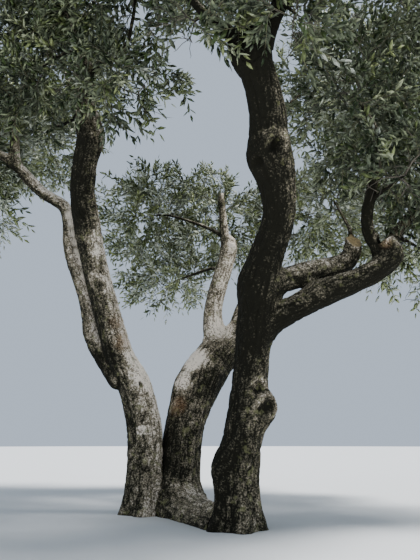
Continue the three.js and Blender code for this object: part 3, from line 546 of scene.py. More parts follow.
class OliveLeafSettings(bpy.types.PropertyGroup):
    twigs: FloatProperty(name="Twigs", default=850,
                         description="Twig tips for each square metre of a mass's mean radius squared")
    spray_length: length_setting("Spray length", "Mean length of a leafy shoot", 0.18)
    side_sprays: share_setting("Side sprays", "Share of the side buds that have a shoot", 0.9, min=0, max=1)
    pairs: IntProperty(name="Leaf pairs", description="Pairs of leaves on a spray", default=5)
    length: length_setting("Leaf length", "Mean length of a leaf", 0.070)
    width: share_setting("Leaf width", "Width of a leaf as a share of its length", 0.31)
    curl: share_setting("Leaf curl", "Rise of a leaf's margins as a share of its length", 0.03)
    spread: FloatProperty(name="Leaf spread", description="Angle between a leaf and its shoot",
                          default=math.radians(46), subtype="ANGLE")
    shoot: colour_setting("Shoots", "Colour of young shoots", (0.15, 0.14, 0.08))
    twig: colour_setting("Twigs", "Colour of the twigs", (0.10, 0.085, 0.065))


class OliveStageSettings(bpy.types.PropertyGroup):
    eye: FloatVectorProperty(name="Camera", description="Place of the camera", subtype="TRANSLATION",
                             size=3, unit="LENGTH", default=(-0.130, -3.000, 0.420))
    pitch: FloatProperty(name="Pitch", description="How far the camera looks up",
                         default=math.radians(15.8), subtype="ANGLE")
    lens: FloatProperty(name="Lens", description="Focal length for a 36 mm tall picture", default=36.4)
    floor: length_setting("Floor", "Radius of the floor", 40)
    floor_colour: colour_setting("Floor colour", "Colour of the floor", (0.62, 0.63, 0.63))
    sky: colour_setting("Backdrop", "Colour of the backdrop and the soft light", (0.66, 0.78, 0.94))
    sky_strength: FloatProperty(name="Soft light", description="Strength of the light from all round",
                                default=0.8)
    sun_strength: FloatProperty(name="Key light", description="Strength of the key light", default=7.0)


def unit(vectors):
    """The same directions, one metre long."""
    return vectors / np.maximum(np.linalg.norm(vectors, axis=-1, keepdims=True), TINY)


def smooth(points, shares):
    """Points of a Catmull-Rom curve through the given ones, at shares of the way from first to last."""
    given = np.asarray(points, float).reshape(len(points), -1)
    padded = np.vstack([2 * given[0] - given[1], given, 2 * given[-1] - given[-2]])
    place = np.clip(np.atleast_1d(shares), 0, 1) * (len(given) - 1)
    first = np.minimum(place.astype(int), len(given) - 2)
    t = (place - first)[:, None]
    a, b, c, d = (padded[first + i] for i in range(4))
    return 0.5 * (2 * b + (c - a) * t + (2 * a - 5 * b + 4 * c - d) * t**2 + (3 * b - 3 * c + d - a) * t**3)


def carried_frames(points):
    """Tangent, normal and side at each point of a path, each normal carried on from the one before."""
    tangents = unit(np.gradient(points, axis=0))
    normals = np.empty_like(points)
    normal = np.array((1.0, 0.0, 0.0)) if abs(tangents[0][0]) < STEEPEST else UP
    for i, tangent in enumerate(tangents):
        normal = unit(normal - tangent * (normal @ tangent))
        normals[i] = normal
    return tangents, normals, np.cross(tangents, normals)


def scar_shape(points, place, ring):
    """How much each point lies in a scar's middle and on its rim, which is uneven and higher above it."""
    offset = points - place
    offset = offset + ring * SCAR_WARP * np.sin(points[:, (1, 2, 0)] * SCAR_WAVES / ring)
    away = np.linalg.norm(offset, axis=1) / ring
    over = np.clip(offset[:, 2] / ring, -1, 1)
    rim = np.exp(-(((away - 1) / SCAR_RIM) ** 2)) * (1 - SCAR_HOOD + SCAR_HOOD * over)
    return np.exp(-((away / SCAR_HOLLOW) ** 2)), rim


class Limb:
    """A trunk, bough or stem: a path with a girth, measured as short straight stretches."""

    def __init__(self, path, girth, flare=None, knots=(), scars=(), cut=None, snug=1, weather_and_painted_light=STEM_WEATHER):
        rough = smooth(path, np.linspace(0, 1, PATH_SAMPLES))
        length = np.linalg.norm(np.diff(rough, axis=0), axis=1).sum()
        shares = np.linspace(0, 1, max(LIMB_STEPS, round(length / LIMB_STEP)) + 1)
        self.path, self.girth = path, girth
        self.flare, self.knots, self.scars, self.cut = flare, knots, scars, cut
        self.snug, self.weather_and_painted_light = snug, weather_and_painted_light
        self.points = smooth(path, shares)
        self.radii = smooth(girth, shares)[:, 0]
        self.tangents, self.normals, self.sides = carried_frames(self.points)
        steps = np.linalg.norm(np.diff(self.points, axis=0), axis=1)
        self.along = np.concatenate([[0], np.cumsum(steps)])
        self.mean_radius = self.radii.mean()

    def at(self, share):
        """The point, direction and radius at a share of the path."""
        step = 1e-4
        ahead, behind = smooth(self.path, [share + step])[0], smooth(self.path, [share - step])[0]
        return smooth(self.path, [share])[0], unit(ahead - behind), smooth(self.girth, [share])[0, 0]

    def near(self, points):
        """Which points are so close to the limb that its bark may reach them."""
        margin = self.radii.max() + NEAR_BARK
        low, high = self.points.min(0) - margin, self.points.max(0) + margin
        return np.flatnonzero(((points > low) & (points < high)).all(1))

    def swell(self, points):
        """How far knots, scars and the root flare push the bark out at some points."""
        push = np.zeros(len(points))
        for place, reach, height in self.knots:
            push += height * np.exp(-((np.linalg.norm(points - place, axis=1) / reach) ** 2))
        for place, ring, rim, hollow in self.scars:
            middle, edge = scar_shape(points, place, ring)
            push += rim * edge - hollow * middle
        if self.flare:
            spread, height, lobes, turn = self.flare
            around = np.arctan2(points[:, 1] - self.points[0, 1], points[:, 0] - self.points[0, 0])
            lobe = FLARE_LEVEL + FLARE_SWING * np.cos(lobes * around + turn)
            push += spread * np.exp(-np.maximum(points[:, 2], FLARE_FLOOR) / height) * lobe
        return push

    def measure(self, points):
        """Distance from the bark, way out, grain (how far round and along), girth and share of sawn wood at
        each point."""
        start, end = self.points[:-1], self.points[1:]
        step = end - start
        offset = points[:, None] - start
        share = np.clip((offset * step).sum(2) / (step * step).sum(1), 0, 1)
        away = offset - share[..., None] * step
        distance = np.linalg.norm(away, axis=2)
        radius = self.radii[:-1] + share * np.diff(self.radii)
        best = (distance - radius).argmin(1)
        rows = np.arange(len(points))
        out = unit(away[rows, best])
        share = share[rows, best]
        along = self.along[best] + share * np.diff(self.along)[best]
        normal, side = (axis[best] * (1 - share)[:, None] + axis[best + 1] * share[:, None]
                        for axis in (self.normals, self.sides))
        angle = np.arctan2((out * side).sum(1), (out * normal).sum(1))
        distance = (distance - radius)[rows, best] - self.swell(points)
        grain = np.stack([self.mean_radius * np.cos(angle), self.mean_radius * np.sin(angle), along], axis=1)
        sawn = np.zeros(len(points))
        if self.cut:
            distance, out, sawn = self.saw(points, distance, out)
        return distance, out, grain, radius[rows, best], sawn

    def saw(self, points, distance, out):
        """The same distance and way out with the tip sawn off, and how much of each point is sawn wood."""
        facing = unit(np.array(self.cut))
        offset = points - self.points[-1]
        beyond = offset @ facing
        beyond[np.linalg.norm(offset, axis=1) > SAW_REACH * self.radii[-1]] = -FAR
        out[beyond > distance] = facing
        return np.maximum(distance, beyond), out, np.clip((beyond - distance) / SAW_EDGE, 0, 1)


@functools.cache
def limbs():
    return {name: Limb(**plan) for name, plan in LIMBS.items()}


@functools.cache
def stems():
    """The stem of each mass, which leaves its limb at the tip or the side and bends to the mass's heart."""
    rng = np.random.default_rng(STEM_SEED)
    made = {}
    for name, (limb_name, share, centre, _, _) in MASSES.items():
        start, leaving, limb_radius = limbs()[limb_name].at(share)
        heart = np.array(centre)
        reach = np.linalg.norm(heart - start)
        foot = limb_radius * TIP_STEM_GIRTH
        if share < 1:
            leaving = unit(unit(heart - start) + STEM_LEAN * leaving)
            foot = min(limb_radius * SIDE_STEM_GIRTH, SIDE_STEM_RADIUS + reach * SIDE_STEM_THICKENING)
        else:
            start = start - leaving * limb_radius / 2
        bend = start + leaving * reach * STEM_BEND
        t = np.linspace(0, 1, STEM_POINTS)[:, None]
        path = (1 - t) ** 2 * start + 2 * t * (1 - t) * bend + t**2 * heart
        path[2:-1] += rng.normal(0, STEM_WANDER * reach, path[2:-1].shape)
        made[name] = Limb(path, foot + (STEM_TIP_RADIUS - foot) * t[:, 0] ** STEM_TAPER)
    return made


def room(points):
    """How far each point is from the nearest bark of the limbs, up to where it counts as near."""
    clear = np.full(len(points), NEAR_BARK)
    for limb in limbs().values():
        near = limb.near(points)
        if len(near):
            clear[near] = np.minimum(clear[near], limb.measure(points[near])[0])
    return clear


def depths(points):
    """How deep each point is in each mass's space: 0 at its centre and 1 on its outside."""
    centres = np.array([plan[2] for plan in MASSES.values()])
    radii = np.array([plan[3] for plan in MASSES.values()])
    return np.linalg.norm((points[:, None] - centres) / radii, axis=2)


def halton(index, base):
    """Halton's evenly spread numbers from 0 to 1."""
    index = np.array(index)
    result = np.zeros(len(index))
    share = 1 / base
    while index.any():
        result += (index % base) * share
        index = index // base
        share /= base
    return result


def twig_tips(number, name):
    """Where a mass's twigs end: spread evenly through its own space, sorted outwards from its heart."""
    _, _, centre, radii, _ = MASSES[name]
    fullness = next(full for _, full, names in LEAF_PIECES.values() if name in names) * FULLNESS.get(name, 1)
    count = round(bpy.context.scene.olive_leaf.twigs * fullness * math.prod(radii) ** (2 / 3))
    index = np.arange(count) + 1 + SEED_STEP * number
    outward = np.cbrt(TIP_INNER**3 + (TIP_OUTER**3 - TIP_INNER**3) * halton(index, 2))
    height = 1 - 2 * halton(index, 3)
    turn = 2 * math.pi * halton(index, 5)
    level = np.sqrt(1 - height**2)
    direction = np.stack([level * np.cos(turn), level * np.sin(turn), height], axis=1)
    tips = np.array(centre) + direction * outward[:, None] * radii
    own = depths(tips).argmin(1) == number
    dense = np.array([noise.noise(Vector(tip)) for tip in tips / GAP_SIZE]) > GAP_LEVEL
    tips = tips[own & dense]
    return tips[np.linalg.norm(tips - centre, axis=1).argsort()]


def grow_twigs(number, name):
    """The paths of a mass's twigs, and their girths but for the tips'. A twig springs from the joint of the
    stem, or of an earlier twig, that is nearest by distance and way back, and thickens with the twigs that
    it carries."""
    rng = np.random.default_rng(TWIG_SEED + number)
    stem = stems()[name]
    joints = smooth(stem.path, STEM_JOINTS)
    carriers = [-1] * len(joints)
    girths = smooth(stem.girth, STEM_JOINTS)[:, 0]
    way = np.zeros(len(joints))
    paths, carrier, widest = [], [], []
    for tip in twig_tips(number, name):
        best = (np.linalg.norm(joints - tip, axis=1) + DETOUR_WEIGHT * way).argmin()
        start = joints[best]
        length = np.linalg.norm(tip - start)
        bends = [start + (tip - start) * share + rng.normal(0, TWIG_BEND * length, 3)
                 for share in TWIG_JOINTS]
        path = np.array([start, *bends, tip])
        if room(path[1:]).min() < LIMB_CLEARANCE:
            continue
        joints = np.vstack([joints, bends])
        way = np.concatenate([way, way[best] + length * np.array(TWIG_JOINTS)])
        widest.append(girths[best] if best < len(girths) else FAR)
        carrier.append(carriers[best])
        carriers += [len(paths)] * len(TWIG_JOINTS)
        paths.append(path)
    carried = np.ones(len(paths))
    for i in reversed(range(len(paths))):
        if carrier[i] >= 0:
            carried[carrier[i]] += carried[i]
    radii = TWIG_TIP_RADIUS * carried**TWIG_THICKENING
    for i, below in enumerate(carrier):
        most = radii[below] if below >= 0 else widest[i]
        radii[i] = max(TWIG_TIP_RADIUS, min(radii[i], most * JOINT_SHARE))
    shares = np.array((0, *TWIG_JOINTS))
    return np.array(paths), radii[:, None] + (TWIG_TIP_RADIUS - radii[:, None]) * shares * TWIG_TAPER


def grow_sprays(number, name, paths):
    """Leafy shoots at the end of each twig and along it: root, direction, length, droop and tint of each."""
    settings = bpy.context.scene.olive_leaf
    _, _, centre, space, droop = MASSES[name]
    rng = np.random.default_rng(SPRAY_SEED + number)
    tips = paths[:, -1]
    along = unit(tips - paths[:, -2])
    roots, ways = [tips], [along + rng.normal(0, END_WANDER, tips.shape)]
    for a, b, share in SIDE_SPRAYS:
        chosen = rng.random(len(tips)) < settings.side_sprays
        roots.append((paths[:, a] + (paths[:, b] - paths[:, a]) * share)[chosen])
        along = unit(paths[chosen, b] - paths[chosen, a])
        ways.append(along * SIDE_LEAN + unit(np.cross(along, rng.normal(0, 1, along.shape))))
    roots = np.vstack(roots)
    outward = unit((roots - centre) / np.square(space))
    ways = unit(unit(np.vstack(ways)) + OUTWARD_PULL * outward + (UPWARD_PULL - DROOP_PULL * droop) * UP)
    lengths = settings.spray_length * rng.uniform(*SPRAY_LENGTHS, len(roots))
    droops = droop * rng.uniform(*DROOP_SHARES, len(roots)) + rng.normal(0, DROOP_WANDER, len(roots))
    # Painted light and shade: the tints are dealt by how much sun the mass is given.
    light = "sun" if name in IN_SUN else "shade" if name in IN_SHADE else "half"
    tints = rng.choice(len(TINTS), len(roots), p=TINT_SHARES[light])
    sprays = roots, ways, lengths, np.clip(droops, *DROOP_LIMITS), tints
    ends = spray_points(sprays, 1)[0]
    clear = np.minimum(room(ends), room(spray_points(sprays, 0.5)[0]))
    keep = (depths(ends).min(1) < rng.uniform(*SPRAY_OUTER, len(ends))) & (clear > LIMB_CLEARANCE)
    keep &= (ends > CAD_BOX[0]).all(1) & (ends < CAD_BOX[1]).all(1)
    return [part[keep] for part in sprays]


@functools.cache
def crown():
    """The twigs and the sprays of every mass."""
    grown = {}
    for number, name in enumerate(MASSES):
        paths, radii = grow_twigs(number, name)
        grown[name] = (paths, radii), grow_sprays(number, name, paths)
    return grown


def spray_points(sprays, share):
    """Points at a share of each spray's length, and its direction there."""
    roots, ways, lengths, droops, _ = sprays
    share = np.broadcast_to(share, lengths.shape)
    points = roots + ways * (lengths * share)[:, None] - UP * (droops * lengths * share**2 / 2)[:, None]
    return points, unit(ways - UP * (droops * share)[:, None])


def grow_leaves(number, sprays, size):
    """Root, direction, upper face, length and tint of every leaf of some sprays, in opposite pairs with one
    at the end."""
    settings = bpy.context.scene.olive_leaf
    rng = np.random.default_rng(LEAF_SEED + number)
    count = len(sprays[0])
    roll = rng.uniform(0, math.pi, count)
    grown = []
    for pair in range(settings.pairs + 1):
        last = pair == settings.pairs
        shift = rng.uniform(-PAIR_SHIFT, PAIR_SHIFT, count) * (not last)
        points, along = spray_points(sprays, (pair + FIRST_PAIR + shift) / (settings.pairs + FIRST_PAIR))
        flat = unit(np.cross(along, LEAF_UP))
        lift = np.cross(flat, along)
        turn = roll + pair * math.pi / 2
        side = flat * np.cos(turn)[:, None] + lift * np.sin(turn)[:, None]
        for sign in (1,) if last else (1, -1):
            spread = settings.spread * rng.uniform(*SPREAD_SHARES, count) * (END_SPREAD if last else 1)
            way = along * np.cos(spread)[:, None] + sign * side * np.sin(spread)[:, None]
            way = unit(way + rng.normal(0, LEAF_WANDER, way.shape))
            face = FACE_ALONG * along + FACE_UPWARD * UP + rng.normal(0, FACE_WANDER, way.shape)
            face = unit(face - way * (face * way).sum(1)[:, None])
            length = settings.length * size * rng.uniform(*LEAF_LENGTHS, count)
            length = length * (1 - END_SHORTENING * (pair / settings.pairs) ** 2)
            grown.append((points, way, face, length, sprays[-1]))
    return [np.concatenate(part) for part in zip(*grown)]


def linked(name, data):
    """A new object in the scene."""
    item = bpy.data.objects.new(name, data)
    bpy.context.collection.objects.link(item)
    return item


def new_object(name, mesh, replaced=()):
    """A piece of the tree that rides on its body and stands for some nodes of the frame."""
    piece = linked(name, mesh)
    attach(piece, BODY)
    if replaced:
        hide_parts(*replaced)


def mesh_of(bm, name):
    """A mesh with the shape of a bmesh, which is then given up."""
    mesh = bpy.data.meshes.new(name)
    bm.to_mesh(mesh)
    bm.free()
    return mesh


def modified(mesh, kind, **settings):
    """A mesh under the same name as it comes out of a modifier, in place of the one that goes in."""
    name = mesh.name
    before = linked(name, mesh)
    modifier = before.modifiers.new(kind, kind)
    for key, value in settings.items():
        setattr(modifier, key, value)
    made = bpy.data.meshes.new_from_object(before.evaluated_get(bpy.context.evaluated_depsgraph_get()))
    bpy.data.objects.remove(before)
    bpy.data.meshes.remove(mesh)
    made.name = name
    return made


def joined_mesh(name, points, faces, kinds, materials):
    """A mesh of triangles from arrays, with the number of its material for each triangle."""
    mesh = bpy.data.meshes.new(name)
    mesh.vertices.add(len(points))
    mesh.vertices.foreach_set("co", np.ascontiguousarray(points, np.float32).ravel())
    mesh.loops.add(faces.size)
    mesh.loops.foreach_set("vertex_index", np.ascontiguousarray(faces, np.int32).ravel())
    mesh.polygons.add(len(faces))
    mesh.polygons.foreach_set("loop_start", np.arange(len(faces), dtype=np.int32) * 3)
    for material in materials:
        mesh.materials.append(material)
    mesh.polygons.foreach_set("material_index", np.ascontiguousarray(kinds, np.int32))
    mesh.update(calc_edges=True)
    mesh.validate()
    return mesh


def leaf_mesh(name, leaves, materials):
    """Every leaf as a thin closed boat, in its tint above and in that tint's underside below."""
    settings = bpy.context.scene.olive_leaf
    roots, ways, upper, lengths, tints = leaves
    across = np.cross(ways, upper)
    points = (
        roots[:, None]
        + ways[:, None] * (lengths[:, None] * LEAF_ALONG)[..., None]
        + across[:, None] * (lengths[:, None] * LEAF_ASIDE * settings.width / 2)[..., None]
        + upper[:, None] * (lengths[:, None] * LEAF_CURL * settings.curl)[..., None]
    )
    faces = LEAF_FACES + (np.arange(len(roots)) * len(LEAF_ALONG))[:, None, None]
    kinds = tints[:, None] + np.repeat((0, len(TINTS)), len(LEAF_FACES) // 2)
    return joined_mesh(name, points.reshape(-1, 3), faces.reshape(-1, 3), kinds.ravel(), materials)


def shaft_mesh(name, points, radii, materials):
    """Many thin shafts, with the materials dealt out in turn. Each has a row of points and one of radii,
    which has none for the tip."""
    count, rings = radii.shape
    along = unit(points[:, -1] - points[:, 0])
    flat = unit(np.cross(along, SHAFT_UP))
    lift = np.cross(along, flat)
    parts = []
    for corner in range(SHAFT_SIDES):
        turn = corner * 2 * math.pi / SHAFT_SIDES
        way = flat * math.cos(turn) + lift * math.sin(turn)
        parts.append(points[:, :-1] + way[:, None] * radii[:, :, None])
    rows = np.stack(parts, axis=2).reshape(count, -1, 3)
    rows = np.concatenate([rows, points[:, -1:]], axis=1)
    corners = [(0, 2, 1)]
    for ring in range(rings):
        for side in range(SHAFT_SIDES):
            a = ring * SHAFT_SIDES + side
            b = ring * SHAFT_SIDES + (side + 1) % SHAFT_SIDES
            if ring < rings - 1:
                corners += [(a, b, b + SHAFT_SIDES), (a, b + SHAFT_SIDES, a + SHAFT_SIDES)]
            else:
                corners.append((a, b, rows.shape[1] - 1))
    faces = np.array(corners) + (np.arange(count) * rows.shape[1])[:, None, None]
    kinds = np.repeat(np.arange(count) % len(materials), len(corners))
    return joined_mesh(name, rows.reshape(-1, 3), faces.reshape(-1, 3), kinds, materials)


class Value:
    """A shader socket that can stand in a Python expression, which then adds its Math nodes."""

    def __init__(self, shader, socket):
        self.shader, self.socket = shader, socket

    def __add__(self, other):
        return self.shader.math("ADD", self, other)

    def __sub__(self, other):
        return self.shader.math("SUBTRACT", self, other)

    def __rsub__(self, other):
        return self.shader.math("SUBTRACT", other, self)

    def __mul__(self, other):
        return self.shader.math("MULTIPLY", self, other)

    __radd__ = __add__
    __rmul__ = __mul__

    def span(self, low, high):
        """0 up to low, 1 from high on, and a soft run between them."""
        settings = {"interpolation_type": "SMOOTHSTEP"}
        values = {"Value": self, "From Min": low, "From Max": high}
        return self.shader.node("ShaderNodeMapRange", settings, values)


class Shader:
    """The nodes of a new material."""

    def __init__(self, name):
        self.material = bpy.data.materials.new(name)
        self.material.use_nodes = True
        self.tree = self.material.node_tree
        self.principled = self.tree.nodes["Principled BSDF"]

    def fill(self, node, values):
        for key, value in values.items():
            if isinstance(value, Value):
                self.tree.links.new(value.socket, node.inputs[key])
            else:
                node.inputs[key].default_value = value

    def node(self, kind, settings, values, output=0):
        """Adds a node with its settings and its sockets' values or links, and gives one of its outputs."""
        node = self.tree.nodes.new(kind)
        for key, value in settings.items():
            setattr(node, key, value)
        self.fill(node, values)
        return Value(self, node.outputs[output])

    def math(self, operation, *values):
        return self.node("ShaderNodeMath", {"operation": operation}, dict(enumerate(values)))

    def mix(self, factor, first, second):
        """One colour where the factor is 0 and another where it is 1."""
        first, second = (c if isinstance(c, Value) else (*c, 1) for c in (first, second))
        return self.node("ShaderNodeMix", {"data_type": "RGBA"}, {0: factor, 6: first, 7: second}, output=2)

    def attribute(self, name, output="Fac"):
        return self.node("ShaderNodeAttribute", {"attribute_name": name}, {}, output)

    def scaled(self, vector, scale):
        return self.node("ShaderNodeVectorMath", {"operation": "MULTIPLY"}, {0: vector, 1: scale})

    def noise(self, vector, scale, detail, roughness):
        values = {"Vector": vector, "Scale": scale, "Detail": detail, "Roughness": roughness}
        return self.node("ShaderNodeTexNoise", {}, values)


@functools.cache
def plain(name, colour, roughness):
    """A finish of one colour."""
    shader = Shader(name)
    shader.fill(shader.principled, {"Base Color": (*colour, 1), "Roughness": roughness})
    return shader.material


@functools.cache
def bark_material():
    """Flecked bark, from near black where it is dark or painted as shaded to pale grey where it is bleached
    or painted as lit, with dark flecks and pits, painted shade in fissures, scar hollows and creases, rust,
    lichen, bare wood and sawn wood."""
    settings = bpy.context.scene.olive_bark
    shader = Shader("bark")
    weather_and_painted_light, rust, bare, painted_crease_shade, sawn = map(shader.attribute, ("weather_and_painted_light", "rust", "bare", "painted_crease_shade", "sawn"))
    place = shader.node("ShaderNodeTexCoord", {}, {}, "Object")
    flecks, blotches, dots, rings = (shader.noise(place, *pattern)
                                     for pattern in (FLECKS, BLOTCHES, LICHEN_DOTS, WOOD_RINGS))
    streaks = shader.noise(shader.scaled(shader.attribute("grain", "Vector"), STREAK_SCALE), *STREAKS)
    level = weather_and_painted_light + (flecks - NOISE_MIDDLE) * FLECK_CONTRAST + (streaks - NOISE_MIDDLE) * STREAK_CONTRAST
    # Painted shade: the bark is darkened where two limbs touch, in scar hollows and in fissures.
    level = level + (blotches - NOISE_MIDDLE) * BLOTCH_CONTRAST - painted_crease_shade * CREASE_SHADE
    colour = settings.dark
    for tone, span in TONES.items():
        colour = shader.mix(level.span(*span), colour, getattr(settings, tone))
    lichen = dots.span(*SPANS["lichen dots"]) * blotches.span(*SPANS["lichen blotches"])
    lichen = lichen * weather_and_painted_light.span(*SPANS["lichen weather"]) * LICHEN_SHARE
    colour = shader.mix(lichen, colour, settings.lichen)
    colour = shader.mix(rust * flecks.span(*SPANS["rust flecks"]), colour, settings.rust)
    colour = shader.mix(bare * streaks.span(*SPANS["bare streaks"]), colour, settings.pale)
    dark_wood = [part * RING_SHADE for part in settings.wood]
    wood = shader.mix(rings.span(*SPANS["wood rings"]), settings.wood, dark_wood)
    # Painted shade in the hollow of a sawn face.
    wood = shader.mix(painted_crease_shade.span(*SPANS["wood creases"]), wood, settings.dark)
    height = flecks * FLECK_HEIGHT + streaks * STREAK_HEIGHT - painted_crease_shade * CREASE_HEIGHT
    bump = {"Height": height, "Strength": BUMP_STRENGTH, "Distance": BUMP_DISTANCE}
    shader.fill(shader.principled, {
        "Base Color": shader.mix(sawn, colour, wood),
        "Roughness": ROUGHNESS["bark"],
        "Specular IOR Level": BARK_SHEEN,
        "Normal": shader.node("ShaderNodeBump", {}, bump),
    })
    return shader.material


def tube(bm, limb):
    """Adds a limb as a plain closed tube that widens where its bark swells."""
    def ring(i):
        normal, side, tangent, centre = limb.normals[i], limb.sides[i], limb.tangents[i], limb.points[i]
        rows = (*normal, 0), (*side, 0), (*tangent, 0), (0, 0, 0, 1)
        around = centre + limb.radii[i] * np.array((normal, -normal, side, -side))
        size = max(limb.radii[i], THIN_TUBE) + limb.swell(around).mean()
        return Matrix.Translation(centre) @ Matrix(rows).transposed() @ Matrix.Diagonal((size, size, 1, 1))

    place = ring(0)
    circle = bmesh.ops.create_circle(bm, cap_ends=True, segments=TUBE_SIDES, radius=1, matrix=place)
    verts = circle["verts"]
    edges = [edge for edge in bm.edges if edge.verts[0] in verts and edge.verts[1] in verts]
    for i in range(1, len(limb.points)):
        made = bmesh.ops.extrude_edge_only(bm, edges=edges)["geom"]
        verts = {item for item in made if isinstance(item, bmesh.types.BMVert)}
        edges = [item for item in made
                 if isinstance(item, bmesh.types.BMEdge) and verts.issuperset(item.verts)]
        bmesh.ops.transform(bm, matrix=ring(i) @ place.inverted(), verts=list(verts))
        place = ring(i)
    bmesh.ops.contextual_create(bm, geom=edges)


def skin_mesh(name, parts, voxel):
    """The tubes of some limbs joined into one closed skin of even faces, cut off level at the ground."""
    bm = bmesh.new()
    for part in parts:
        tube(bm, part)
    bmesh.ops.recalc_face_normals(bm, faces=bm.faces)
    even = modified(mesh_of(bm, name), "REMESH", mode="VOXEL", voxel_size=voxel, adaptivity=0)
    bm = bmesh.new()
    bm.from_mesh(even)
    bpy.data.meshes.remove(even)
    cut = bmesh.ops.bisect_plane(bm, geom=[*bm.verts, *bm.edges, *bm.faces], plane_co=(0, 0, 0),
                                 plane_no=(0, 0, -1), clear_outer=True)
    rim = [item for item in cut["geom_cut"] if isinstance(item, bmesh.types.BMEdge)]
    bmesh.ops.triangulate(bm, faces=bmesh.ops.holes_fill(bm, edges=rim)["faces"])
    return mesh_of(bm, name)


def joined_bark(points, parts, collar):
    """The bark of some limbs together at each point: distance, way out, grain, girth, how much is sawn wood,
    how weathered it is, with painted light and shade in it, and how much painted shade it gets where two
    limbs touch. Where two limbs meet, the bark runs over from one to the other in a collar."""
    count = len(points)
    distance, nearest, second, girth = (np.full(count, FAR) for _ in range(4))
    out, grain = np.tile(UP, (count, 1)), np.zeros((count, 3))
    sawn, weather_and_painted_light = np.zeros(count), np.full(count, STEM_WEATHER)
    for part in parts:
        near = part.near(points)
        for rows in np.array_split(near, len(near) // CHUNK + 1):
            here, way, lie, radius, bare = part.measure(points[rows])
            before = distance[rows]
            width = collar * part.snug * np.minimum(girth[rows], radius)
            blend = np.clip(0.5 + 0.5 * (before - here) / width, 0, 1)
            distance[rows] = before + (here - before) * blend - width * blend * (1 - blend)
            out[rows] = unit(out[rows] + (way - out[rows]) * blend[:, None])
            weather_and_painted_light[rows] += (part.weather_and_painted_light - weather_and_painted_light[rows]) * blend
            closer = here < nearest[rows]
            second[rows] = np.minimum(second[rows], np.where(closer, nearest[rows], here))
            for kept, found in ((nearest, here), (grain, lie), (girth, radius), (sawn, bare)):
                kept[rows[closer]] = found[closer]
    return distance, out, grain, girth, sawn, weather_and_painted_light, np.exp(-np.maximum(second, 0) / SEAM)


def bark_relief(grain, girth):
    """How far the bark stands out at each point, and how much of it is a ridge and not a fissure."""
    settings = bpy.context.scene.olive_bark
    height, ridge = np.empty(len(grain)), np.empty(len(grain))
    flute_lie = grain / (FLUTE_WIDTH, FLUTE_WIDTH, FLUTE_LENGTH)
    width, length = settings.plate_width, settings.plate_length
    fissure_lie, break_lie, scale_lie = (grain / (width * wide, width * wide, length * long) + shift
                                         for wide, long, shift in (FISSURES, BREAKS, SCALES))
    for i, weight in enumerate(np.minimum(1, girth / THICK_BARK)):
        flute = noise.noise(Vector(flute_lie[i]))
        fissure = math.exp(-((noise.noise(Vector(fissure_lie[i])) / FISSURE_WIDTH) ** 2))
        broken = math.exp(-((noise.noise(Vector(break_lie[i])) / FISSURE_WIDTH) ** 2))
        scale = noise.noise(Vector(scale_lie[i]))
        gap = max(fissure, broken * BREAK_DEPTH)
        raised = settings.flute_depth * flute - settings.fissure_depth * gap + SCALE_DEPTH * scale
        height[i] = weight * raised
        ridge[i] = 1 - gap
    return height, ridge


def bark_spots(points):
    """How much paler (pale bark and painted light), darker with painted shade, rustier and barer each point
    is than the bark round it.
    """
    shares = np.zeros((len(BARK_SPOTS), len(points)))
    for share, places in zip(shares, BARK_SPOTS.values()):
        for place, reach, amount in places:
            away = np.linalg.norm(points - place, axis=1) / reach
            share[:] = np.maximum(share, amount * np.exp(-(away**SPOT_EDGE)))
    return shares


def scar_shares(points):
    """How much each point lies in the hollow of a scar, which gets painted shade, and on its ring, which
    gets a painted highlight.
    """
    hollow_share, ring_share = np.zeros(len(points)), np.zeros(len(points))
    for place, ring, rim, hollow in (scar for plan in LIMBS.values() for scar in plan.get("scars", ())):
        middle, edge = scar_shape(points, place, ring)
        hollow_share = np.maximum(hollow_share, min(1, hollow / SEAM) * middle)
        ring_share = np.maximum(ring_share, min(1, rim / SEAM) * edge)
    return hollow_share, ring_share


def store(mesh, name, values):
    """Keeps a number or a vector for each of a mesh's points, which its material can read."""
    kind, field = ("FLOAT", "value") if values.ndim == 1 else ("FLOAT_VECTOR", "vector")
    layer = mesh.attributes.new(name, kind, "POINT")
    layer.data.foreach_set(field, np.ascontiguousarray(values, np.float32).ravel())


